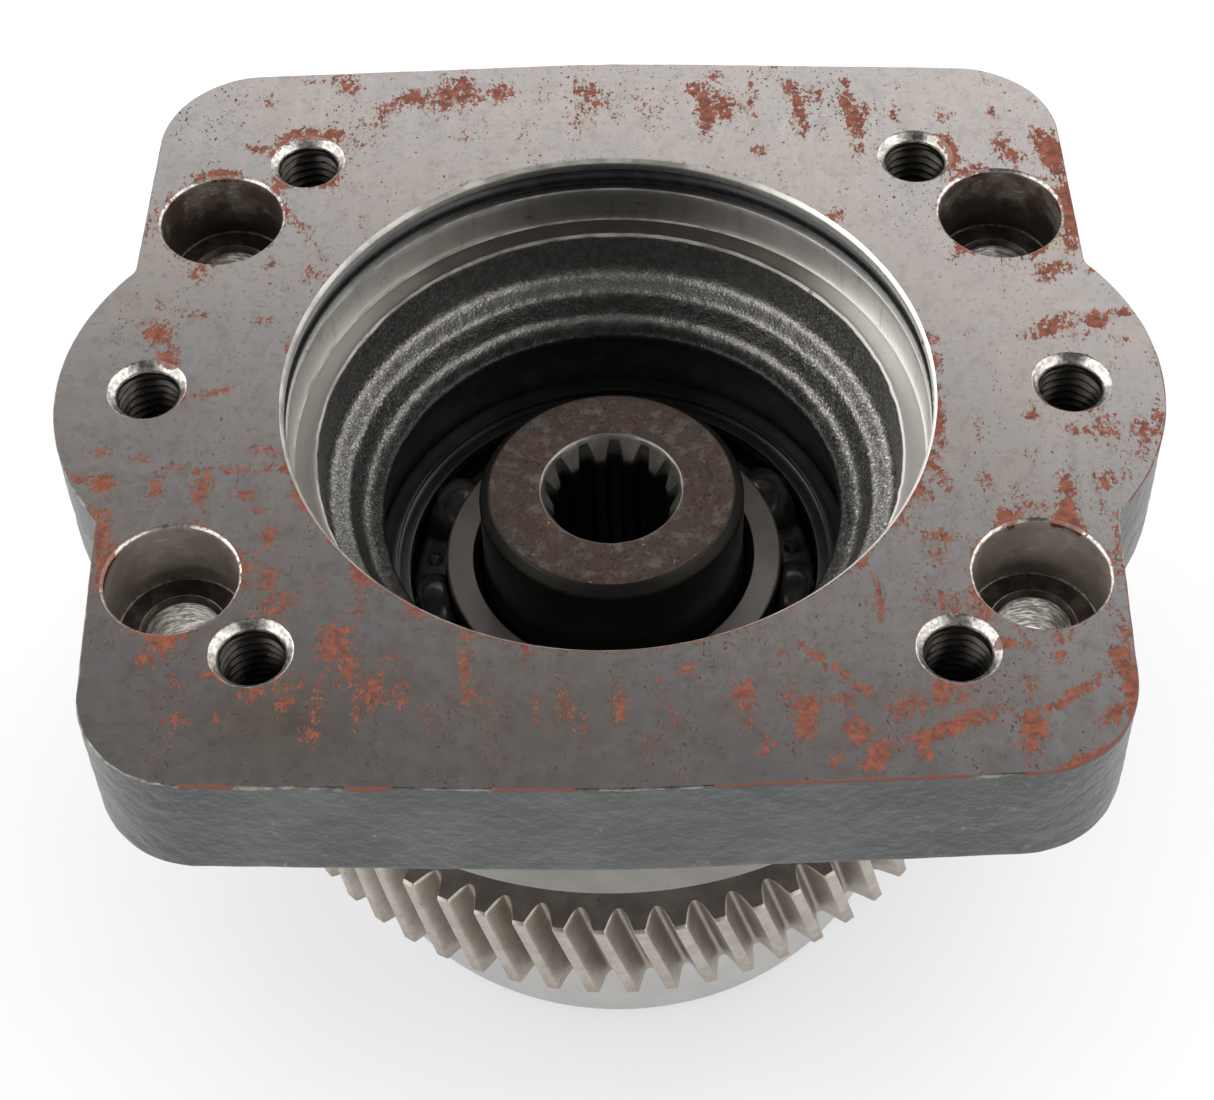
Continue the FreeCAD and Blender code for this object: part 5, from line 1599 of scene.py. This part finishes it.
def build_gear_shaft(M):
    g = Geo()
    FLANK, END, HUBTOP, HUBSIDE, SPL, JOURNAL = range(6)
    # --- teeth, with a small uneven chamfer at both ends ---
    zs = [GEAR_TOP, GEAR_TOP - 0.28, GEAR_TOP - 0.60]
    zs += list(np.linspace(GEAR_TOP - 0.60, GEAR_BOTTOM + 0.60, 12)[1:-1])
    zs += [GEAR_BOTTOM + 0.60, GEAR_BOTTOM + 0.28, GEAR_BOTTOM]
    ch = [0.62, 0.20, 0.0] + [0.0] * 10 + [0.0, 0.20, 0.62]
    cols = []
    for z, c in zip(zs, ch):
        k = (GEAR_TOP - z) / (GEAR_TOP - GEAR_BOTTOM)
        a, r = gear_ring(GEAR_TWIST * k, c)
        p = np.stack([r * np.cos(a), r * np.sin(a), np.full(len(a), z)], -1)
        # hardly visible unevenness of the hobbed surface
        d = 0.018 * fnoise(p, 2.5, 2, 101)
        if c:
            d = d - 0.05 * np.abs(fnoise(p, 1.2, 2, 103))
        s = 1 + d / np.hypot(p[:, 0], p[:, 1])
        p[:, :2] *= s[:, None]
        cols.append(p)
    G = np.stack(cols, 1)
    g.grid(G, FLANK, close_u=True)
    na = G.shape[0]

    def disc(loop, inner_r, z, mat):
        """Flat ring between the toothed loop and a circle, spoke by spoke."""
        a = np.arctan2(loop[:, 1], loop[:, 0])
        inner = np.stack([inner_r * np.cos(a), inner_r * np.sin(a),
                          np.full(len(a), z)], -1)
        mid = loop * 0.0
        r = np.hypot(loop[:, 0], loop[:, 1])
        rm = np.minimum(r, 73.2)
        mid = np.stack([rm * np.cos(a), rm * np.sin(a), np.full(len(a), z)], -1)
        g.grid(np.stack([loop, mid, inner], 1), mat, close_u=True)
        return a, inner

    # the faces are set back from the rim by a hair's breadth
    def turned_band(a, prof, mat):
        P = np.stack([np.stack([r * np.cos(a), r * np.sin(a),
                                np.full(len(a), z)], -1) for r, z in prof], 1)
        g.grid(P, mat, close_u=True)
        return P[:, -1]

    a_top, _ = disc(G[:, 0], 64.4, GEAR_TOP, END)
    top_prof = [(64.4, -74.0), (64.15, -74.05), (64.0, -74.12), (63.9, -74.2),
                (63.6, -74.25), (56.0, -74.25), (48.0, -74.25), (40.0, -74.25),
                (33.7, -74.25), (33.3, -74.2), (33.1, -74.1), (33.0, -73.9),
                (33.0, -73.6), (32.7, -73.3), (30.0, -73.3), (27.5, -73.3)]
    turned_band(a_top, top_prof, np.array([END] * 8 + [JOURNAL] * 7)[None, :])
    a_low, _ = disc(G[:, -1], 66.3, GEAR_BOTTOM, END)
    low_prof = [(66.3, -98.5), (66.1, -98.42), (65.9, -98.3), (65.6, -98.25),
                (57.0, -98.25), (50.0, -98.25), (48.2, -98.25), (46.2, -98.27),
                (45.3, -98.35), (45.0, -98.6), (45.0, -103.0), (45.0, -107.0),
                (44.8, -107.4), (41.6, -110.4), (41.5, -110.7), (41.5, -113.2),
                (41.3, -113.5), (38.0, -113.5), (35.0, -113.5)]
    turned_band(a_low, low_prof, np.array([END] * 9 + [JOURNAL] * 9)[None, :])
    # --- hub above and journal below, on their own angular steps ---
    hub = [(27.5, -73.0), (27.5, -66.0), (27.5, -59.0), (27.5, -52.95),
           (27.42, -52.8), (27.2, -53.1 + 0.9), (27.2, -48.0), (27.2, -42.0),
           (27.2, -37.0), (27.2, -34.4), (27.2, -33.45), (27.12, -33.15),
           (26.9, -32.9), (25.5, -31.5), (25.28, -31.29), (25.0, -31.2)]
    hm = [HUBSIDE] * 12 + [HUBSIDE] * 3
    # --- spline with its lead-in cone ---
    NSP = 13 * 26
    base_prof = [(12.0, -.335), (12.35, -.305), (13.0, -.25), (13.45, -.208),
                 (13.7, -.185), (13.9, -.165), (14.0, -.14)]
    fs = np.array([f for _, f in base_prof] + [-f for _, f in base_prof[::-1]])
    rs = np.array([r for r, _ in base_prof] + [r for r, _ in base_prof[::-1]])

    def spline_r(a):
        step = 2 * PI / 13
        f = ((a - math.radians(88.0)) / step + 0.5) % 1.0 - 0.5
        return np.interp(f, np.concatenate([[-0.5], fs, [0.5]]),
                         np.concatenate([[12.0], rs, [12.0]]))

    a = ring(NSP)
    Rsp = spline_r(a)
    rows = []
    mouth = 14.45
    depth = 5.6
    rows.append((np.full(NSP, 14.75), np.full(NSP, -31.2)))
    rows.append((np.full(NSP, 14.58), np.full(NSP, -31.27)))
    rows.append((np.full(NSP, mouth - 0.03), np.full(NSP, -31.45)))
    dstar = (mouth - Rsp) / (mouth - 12.0) * depth
    for k in np.linspace(0, 1, 12)[1:]:
        d = 0.25 + (dstar - 0.25) * k
        rows.append((mouth - (mouth - 12.0) * d / depth - 0.0, -31.2 - d))
    rows.append((Rsp - 0.0, -31.2 - dstar - 0.18))
    for z in (-37.6, -42.0, -52.0, -64.0, -80.0, -96.0):
        rows.append((Rsp, np.full(NSP, z)))
    Rg = np.stack([np.asarray(r) for r, _ in rows], 1)
    Zg = np.stack([np.asarray(zz) for _, zz in rows], 1)
    Gs = np.stack([Rg * np.cos(a)[:, None], Rg * np.sin(a)[:, None], Zg], -1)
    g.grid(Gs, SPL, close_u=True)
    # spline end to relief bore
    cone_rows = [(16.0, -96.0), (16.0, -110.0), (16.0, -124.0), (16.0, -135.2),
                 (16.2, -135.6), (18.3, -136.7), (18.8, -136.9)]
    P = np.stack([np.stack([r * np.cos(a), r * np.sin(a),
                            np.full(NSP, z)], -1) for r, z in cone_rows], 1)
    P = np.concatenate([Gs[:, -1:, :], P], 1)
    g.grid(P, SPL, close_u=True)
    # hub side and end face share the spline's angles
    Ph = np.stack([np.stack([r * np.cos(a), r * np.sin(a),
                             np.full(NSP, z)], -1) for r, z in hub], 1)
    g.grid(Ph, np.array(hm)[None, :], close_u=True)
    face_prof = [(25.0, -31.2), (22.4, -31.2), (19.6, -31.2), (17.0, -31.2),
                 (14.75, -31.2)]
    Pf = np.stack([np.stack([r * np.cos(a), r * np.sin(a),
                             np.full(NSP, z)], -1) for r, z in face_prof], 1)
    g.grid(Pf, HUBTOP, close_u=True)
    # lower journal and shaft end
    low = [(35.0, -113.9), (35.0, -120.0), (35.0, -128.0), (35.0, -135.0),
           (34.85, -135.5), (33.7, -136.7), (33.3, -136.9), (28.0, -136.9),
           (18.8, -136.9)]
    Pl = np.stack([np.stack([r * np.cos(a), r * np.sin(a),
                             np.full(NSP, z)], -1) for r, z in low], 1)
    g.grid(Pl, JOURNAL, close_u=True)

    # the toothed part and the hub have different counts of corners, so a
    # narrow band of triangles joins their rings at the hub and the journal
    def zip_rings(a1, r1, z1, a2, r2, z2, mat):
        A, B = np.sort(a1 % (2 * PI)), np.sort(a2 % (2 * PI))
        na_, nb_ = len(A), len(B)
        pa = np.stack([r1 * np.cos(A), r1 * np.sin(A), A * 0 + z1], -1)
        pb = np.stack([r2 * np.cos(B), r2 * np.sin(B), B * 0 + z2], -1)
        f = []
        i = j = 0
        while i < na_ or j < nb_:
            ai = A[i + 1] if i + 1 < na_ else A[0] + 2 * PI
            bj = B[j + 1] if j + 1 < nb_ else B[0] + 2 * PI
            if j >= nb_ or (i < na_ and ai <= bj):
                f.append([i % na_, (i + 1) % na_, na_ + j % nb_])
                i += 1
            else:
                f.append([i % na_, na_ + (j + 1) % nb_, na_ + j % nb_])
                j += 1
        g.tris(np.concatenate([pa, pb]), f, mat)

    zip_rings(a_top, 27.5, -73.3, a, 27.5, -73.0, HUBSIDE)
    zip_rings(a_low, 35.0, -113.5, a, 35.0, -113.9, JOURNAL)
    me = g.build("gear_shaft_skin")
    finish_mesh(me, M, sharp=30)
    return put("gear_shaft_skin", me, "shaft", "gear_steel", "gear_shaft")


# ---------------------------------------------------------------------------
# bearings
# ---------------------------------------------------------------------------
UB = dict(bore=27.5, od=50.0, z_top=-52.3, width=21.0, pitch=39.0, ball=7.15,
          n=9, start=-8.0, inner_land=35.3, outer_land=43.0, seal_r=45.5,
          seal_d=2.4, cage_in=35.95, cage_out=42.3, cage_t=1.3, chamfer=1.5,
          inner_ch=2.2)
LB = dict(bore=35.0, od=62.5, z_top=-113.5, width=24.0, pitch=48.75, ball=8.73,
          n=10, start=0.0, inner_land=43.9, outer_land=53.8, seal_r=56.4,
          seal_d=2.6, cage_in=44.7, cage_out=53.0, cage_t=1.5, chamfer=1.5,
          inner_ch=1.5)


def closed_rev(name, pts, n, mat, sharp=32):
    g = Geo()
    G = rev_grid(pts, n)
    g.grid(G, 0, close_u=True, close_v=True)
    me = g.build(name)
    return finish_mesh(me, [mat], sharp)


def arc_pts(cx, cz, r, a0, a1, n):
    return [(cx + r * math.cos(math.radians(a0 + (a1 - a0) * i / n)),
             cz + r * math.sin(math.radians(a0 + (a1 - a0) * i / n)))
            for i in range(n + 1)]


def build_bearing(tag, b, body_in, body_out, body_cage, M):
    z1 = b["z_top"]
    z0 = z1 - b["width"]
    zm = (z0 + z1) / 2
    rg = b["ball"] + 0.2
    bottom = b["pitch"] - b["ball"] - 0.08
    cx = bottom + rg
    h = math.sqrt(rg ** 2 - (cx - b["inner_land"]) ** 2)
    ci = b["inner_ch"]
    bo, il = b["bore"], b["inner_land"]
    pts = []
    pts += [(bo, z0 + ci), (bo + 0.12 * ci, z0 + 0.62 * ci),
            (bo + 0.38 * ci, z0 + 0.25 * ci), (bo + ci, z0)]
    pts += [((bo + ci + il - 0.5) / 2, z0), (il - 0.5, z0),
            (il - 0.15, z0 + 0.15), (il, z0 + 0.5), (il, zm - h)]
    a = math.degrees(math.asin(h / rg))
    pts += [(cx - rg * math.cos(math.radians(t)), zm + rg * math.sin(
        math.radians(t))) for t in np.linspace(-a, a, 13)[1:-1]]
    pts += [(il, zm + h), (il, z1 - 0.5), (il - 0.15, z1 - 0.15),
            (il - 0.5, z1), ((bo + ci + il - 0.5) / 2, z1), (bo + ci, z1),
            (bo + 0.38 * ci, z1 - 0.25 * ci), (bo + 0.12 * ci, z1 - 0.62 * ci),
            (bo, z1 - ci), (bo, zm + 3), (bo, zm - 3)]
    me = closed_rev(tag + "_inner_ring_skin", pts, 260, M["ring_in_" + tag], 16)
    put(tag + "_bearing_inner_ring_skin", me, body_in, "bearing_steel",
        tag + "_bearing_inner_ring")
    # outer ring
    top = b["pitch"] + b["ball"] + 0.08
    cx = top - rg
    ol, sr, sd, od, c = (b["outer_land"], b["seal_r"], b["seal_d"], b["od"],
                         b["chamfer"])
    h = math.sqrt(rg ** 2 - (ol - cx) ** 2)
    a = math.degrees(math.asin(h / rg))

    def end(s):
        """Land to rim at one end, from the raceway outwards; s is the side."""
        zz = z1 if s > 0 else z0
        return [(ol, zz - s * (sd + 0.5)), (ol + 0.15, zz - s * (sd + 0.16)),
                (ol + 0.6, zz - s * sd), (sr - 0.4, zz - s * sd),
                (sr + 0.1, zz - s * sd * 0.97), (sr + 0.62, zz - s * sd * 0.85),
                (sr + 0.72, zz - s * sd * 0.72), (sr + 0.6, zz - s * sd * 0.6),
                (sr + 0.08, zz - s * sd * 0.48), (sr, zz - s * sd * 0.40),
                (sr, zz - s * 0.34), (sr + 0.10, zz - s * 0.1),
                (sr + 0.34, zz), ((sr + od - c) / 2, zz), (od - c, zz),
                (od - 0.42 * c, zz - s * 0.17 * c), (od - 0.14 * c, zz - s * 0.5 * c),
                (od, zz - s * c)]

    race = [(cx + rg * math.cos(math.radians(t)), zm + rg * math.sin(
        math.radians(t))) for t in np.linspace(-a, a, 13)]
    pts = end(1) + [(od, zm + b["width"] * 0.2), (od, zm - b["width"] * 0.2)]
    pts += end(-1)[::-1] + race
    me = closed_rev(tag + "_outer_ring_skin", pts, 300, M["ring_out_" + tag])
    put(tag + "_bearing_outer_ring_skin", me, body_out, "bearing_steel",
        tag + "_bearing_outer_ring")
    # pressed cage halves: a ribbon with a domed pocket over each ball
    t = b["cage_t"]
    rin = b["ball"] + 0.12
    rout = rin + t
    NU, NV = b["n"] * 54, 15
    ang = math.radians(b["start"]) + ring(NU)
    rad = np.linspace(b["cage_in"] + 0.02, b["cage_out"] - 0.02, NV)
    A, Rr = np.meshgrid(ang, rad, indexing="ij")
    step = 2 * PI / b["n"]
    da = (A - math.radians(b["start"]) + step / 2) % step - step / 2
    dx = Rr * np.cos(da) - b["pitch"]
    dy = Rr * np.sin(da)
    d2 = dx ** 2 + dy ** 2

    def dome(rr, flat, soft):
        zz = np.sqrt(np.maximum(rr ** 2 - d2, 0.0))
        kk = np.clip(0.5 + 0.5 * (zz - flat) / soft, 0, 1)
        return zz * kk + flat * (1 - kk) + soft * kk * (1 - kk)

    upper = dome(rout, t * 1.0, 0.9)
    lower = dome(rin, 0.0, 0.35)
    lower = np.minimum(lower, upper - t * 0.55)
    lower = np.maximum(lower, 0.0)
    roll = 0.22 * (1 - np.clip(np.minimum(Rr - rad[0], rad[-1] - Rr) / 0.5, 0, 1)) ** 2
    for s, nm in ((1, "top"), (-1, "bottom")):
        g = Geo()
        U = np.stack([Rr * np.cos(A), Rr * np.sin(A), zm + s * (upper - roll)], -1)
        L = np.stack([Rr * np.cos(A), Rr * np.sin(A), zm + s * (lower + 0.0)], -1)
        loop = np.concatenate([U, L[:, ::-1]], 1)
        g.grid(loop, 0, close_u=True, close_v=True)
        me = g.build(tag + "_cage_" + nm)
        finish_mesh(me, [M["cage"]], 50)
        put("%s_bearing_cage_%s_skin" % (tag, nm), me, body_cage, "cage_steel",
            "%s_bearing_cage_%s" % (tag, nm))
    # balls and rivets
    gb = Geo()
    nb_, mb_ = 40, 24
    th = ring(nb_)
    ph = np.linspace(0, PI, mb_ + 1)
    for i in range(b["n"]):
        aa = math.radians(b["start"] + 360.0 / b["n"] * i)
        c0 = np.array([b["pitch"] * math.cos(aa), b["pitch"] * math.sin(aa), zm])
        S = np.stack([np.outer(np.cos(th), np.sin(ph)),
                      np.outer(np.sin(th), np.sin(ph)),
                      np.outer(np.ones(nb_), np.cos(ph))], -1) * b["ball"] + c0
        gb.grid(S, 0, close_u=True)
    me = gb.build(tag + "_balls")
    finish_mesh(me, [M["ball"]], 80)
    put(tag + "_bearing_balls_skin", me, body_cage, "ball_steel",
        tag + "_bearing_balls")
    gr = Geo()
    for i in range(b["n"]):
        aa = math.radians(b["start"] + 360.0 / b["n"] * (i + 0.5))
        x, y = b["pitch"] * math.cos(aa), b["pitch"] * math.sin(aa)
        half = [(0.0, t + 0.98), (0.55, t + 0.93), (1.05, t + 0.78),
                (1.5, t + 0.45), (1.78, t + 0.08), (1.72, t), (1.1, t)]
        prof = half + [(1.1, 0.0)] + [(r, -z) for r, z in half[::-1]]
        G = rev_grid([(r, z + zm) for r, z in prof], 20, x, y)
        gr.grid(G, 0, close_u=True)
    me = gr.build(tag + "_rivets")
    finish_mesh(me, [M["cage"]], 40)
    put(tag + "_bearing_cage_rivets_skin", me, body_cage, "cage_steel",
        tag + "_bearing_cage_rivets")


def build_oring(name, node, r, z, d, mat, nt=420, nc=20):
    g = Geo()
    t = ring(nt)[:, None]
    c = ring(nc)[None, :]
    q = np.stack([r * np.cos(t) + 0 * c, r * np.sin(t) + 0 * c, 0 * t + 0 * c], -1)
    wob = 0.05 * fnoise(q, 9.0, 2, 131)
    rr = r + wob + (d / 2) * np.cos(c) * 1.0
    zz = z + 0.04 * fnoise(q, 12.0, 2, 133) + (d / 2) * np.sin(c)
    g.grid(np.stack([rr * np.cos(t), rr * np.sin(t), zz], -1), 0, close_u=True,
           close_v=True)
    me = g.build(name)
    finish_mesh(me, [mat], 80)
    return put(name, me, "housing", "o_ring", node)


# ---------------------------------------------------------------------------
# light, floor, world
# ---------------------------------------------------------------------------
BACK_TILT = (-0.18, 0.0, 1.0)
BACK_STOPS = [(0.00, 0.92), (0.58, 1.02), (0.66, 1.32), (0.695, 1.28),
              (0.728, 0.42), (0.76, 0.17), (0.82, 0.08), (0.92, 0.045),
              (1.0, 0.04)]
BACK_SPAN = [(0.48, 0.0), (0.62, 1.0)]
SIDE_SPAN = [(0.42, 0.0), (0.66, 1.0)]
SIDE_STOPS = [(0.0, 1.55), (0.20, 2.2), (0.70, 2.9), (0.84, 0.45), (1.0, 0.0)]
SIDE_LEVEL = (1.0, -0.10)
LOW_STOPS = [(0.0, 0.80), (0.10, 0.55), (0.30, 0.16), (0.60, 0.07),
             (1.0, 0.05)]


def build_stage():
    me = bpy.data.meshes.new("floor")
    s = 4.0
    z = FLOOR_Z * MM - 0.0002
    me.from_pydata([(-s, -s, z), (s, -s, z), (s, s, z), (-s, s, z)], [],
                   [(0, 1, 2, 3)])
    me.materials.append(mat_floor())
    ob = bpy.data.objects.new("floor", me)
    bpy.context.scene.collection.objects.link(ob)
    w = bpy.data.worlds.new("soft_room")
    bpy.context.scene.world = w
    w.use_nodes = True
    nt = w.node_tree
    nt.nodes.clear()
    out = nt.nodes.new("ShaderNodeOutputWorld")
    bg = nt.nodes.new("ShaderNodeBackground")
    tc = nt.nodes.new("ShaderNodeTexCoord")
    def dot(v):
        n = nt.nodes.new("ShaderNodeVectorMath")
        n.operation = "DOT_PRODUCT"
        nt.links.new(tc.outputs["Generated"], n.inputs[0])
        n.inputs[1].default_value = v
        return n.outputs["Value"]

    def ramp(value, stops):
        n = nt.nodes.new("ShaderNodeValToRGB")
        cr = n.color_ramp
        cr.interpolation = "LINEAR"
        while len(cr.elements) > 1:
            cr.elements.remove(cr.elements[-1])
        for i, (p, v) in enumerate(stops):
            e = cr.elements[0] if i == 0 else cr.elements.new(p)
            e.position = p
            e.color = (v, v, v, 1)
        nt.links.new(value, n.inputs[0])
        return n.outputs[0]

    def op(kind, a, b=None):
        n = nt.nodes.new("ShaderNodeMath")
        n.operation = kind
        for k, q in enumerate((a, b)):
            if q is None:
                continue
            if isinstance(q, (int, float)):
                n.inputs[k].default_value = q
            else:
                nt.links.new(q, n.inputs[k])
        return n.outputs[0]

    x, y, z = dot((1, 0, 0)), dot((0, 1, 0)), dot((0, 0, 1))
    # bright low wall behind, its upper edge a little higher on the right
    back = op("MULTIPLY", ramp(dot(BACK_TILT), BACK_STOPS),
              ramp(op("ADD", op("MULTIPLY", y, 0.5), 0.5), BACK_SPAN))
    # two bright sides
    side = op("MULTIPLY", ramp(op("ABSOLUTE", x), SIDE_SPAN),
              ramp(z, SIDE_STOPS))
    side = op("MULTIPLY", side, op("ADD", SIDE_LEVEL[0],
                                   op("MULTIPLY", x, SIDE_LEVEL[1])))
    low = ramp(z, LOW_STOPS)
    level = op("MAXIMUM", op("MAXIMUM", back, side), low)
    bg.inputs["Color"].default_value = (1.0, 0.985, 0.965, 1)
    nt.links.new(level, bg.inputs["Strength"])
    nt.links.new(bg.outputs[0], out.inputs[0])


def area(name, at, to, size, power, color=(1, 1, 1), glossy=True):
    l = bpy.data.lights.new(name, "AREA")
    l.shape = "RECTANGLE"
    l.size, l.size_y = size
    l.energy = power
    l.color = color
    ob = bpy.data.objects.new(name, l)
    bpy.context.scene.collection.objects.link(ob)
    ob.location = at
    d = Vector(to) - Vector(at)
    ob.rotation_mode = "QUATERNION"
    ob.rotation_quaternion = d.to_track_quat("-Z", "Y")
    ob.visible_glossy = glossy
    ob.visible_camera = False
    return ob


# ---------------------------------------------------------------------------
# build it all
# ---------------------------------------------------------------------------
HM = [mat_face(), mat_paint(), mat_bore(), mat_shelf(), mat_cast(), mat_inner(),
      mat_counterbore(), mat_seat(), mat_drilled(), mat_chamfer(), mat_thread(),
      mat_spigot(), mat_under(), mat_edge()]
build_housing(HM)

GM = [mat_gear(), mat_gear_end(), mat_hub_top(), mat_hub_side(), mat_spline(),
      mat_ring("journal_steel", (0.50, 0.48, 0.45), (0.43, 0.41, 0.38), 0.5)]
build_gear_shaft(GM)

BM = {
    # painted shade: the upper rings, deep in the bore, get darker bases than the lower
    # bearing's rings, the outer ring near black
    "ring_in_upper": mat_ring("inner_ring_steel", (0.330, 0.308, 0.288),
                              (0.270, 0.252, 0.235), 0.9, 0.0297),
    "ring_out_upper": mat_ring("outer_ring_painted_dark", (0.085, 0.085, 0.083),
                               (0.062, 0.061, 0.060), 0.4),
    "ring_in_lower": mat_ring("lower_inner_steel", (0.50, 0.48, 0.46),
                              (0.44, 0.42, 0.40), 0.5),
    "ring_out_lower": mat_ring("lower_outer_steel", (0.500, 0.493, 0.478),
                               (0.540, 0.533, 0.515), 0.35),
    "ball": mat_ball(),
    "cage": mat_cage(),
}
build_bearing("upper", UB, "shaft", "housing", "upper_cage", BM)
build_bearing("lower", LB, "shaft", "lower_race", "lower_cage", BM)
RUB = mat_rubber()
build_oring("pilot_o_ring_skin", "pilot_o_ring", 66.05, -5.4, 5.0, RUB)
build_oring("spigot_o_ring_skin", "spigot_o_ring", 78.15, -33.5, 3.5, RUB)

build_stage()
area("soft_top", (0.15, 0.25, 1.3), (0, 0, -0.1), (1.8, 1.8), 24.0,
     (1.0, 0.99, 0.98), glossy=False)
area("soft_front", (-0.4, -1.2, 0.7), (0, 0, -0.08), (1.6, 1.0), 10.0,
     (0.98, 0.99, 1.0), glossy=False)

scene = bpy.context.scene
scene.view_settings.view_transform = "Standard"
scene.view_settings.look = "None"
scene.view_settings.exposure = 0.0
scene.view_settings.gamma = 1.0
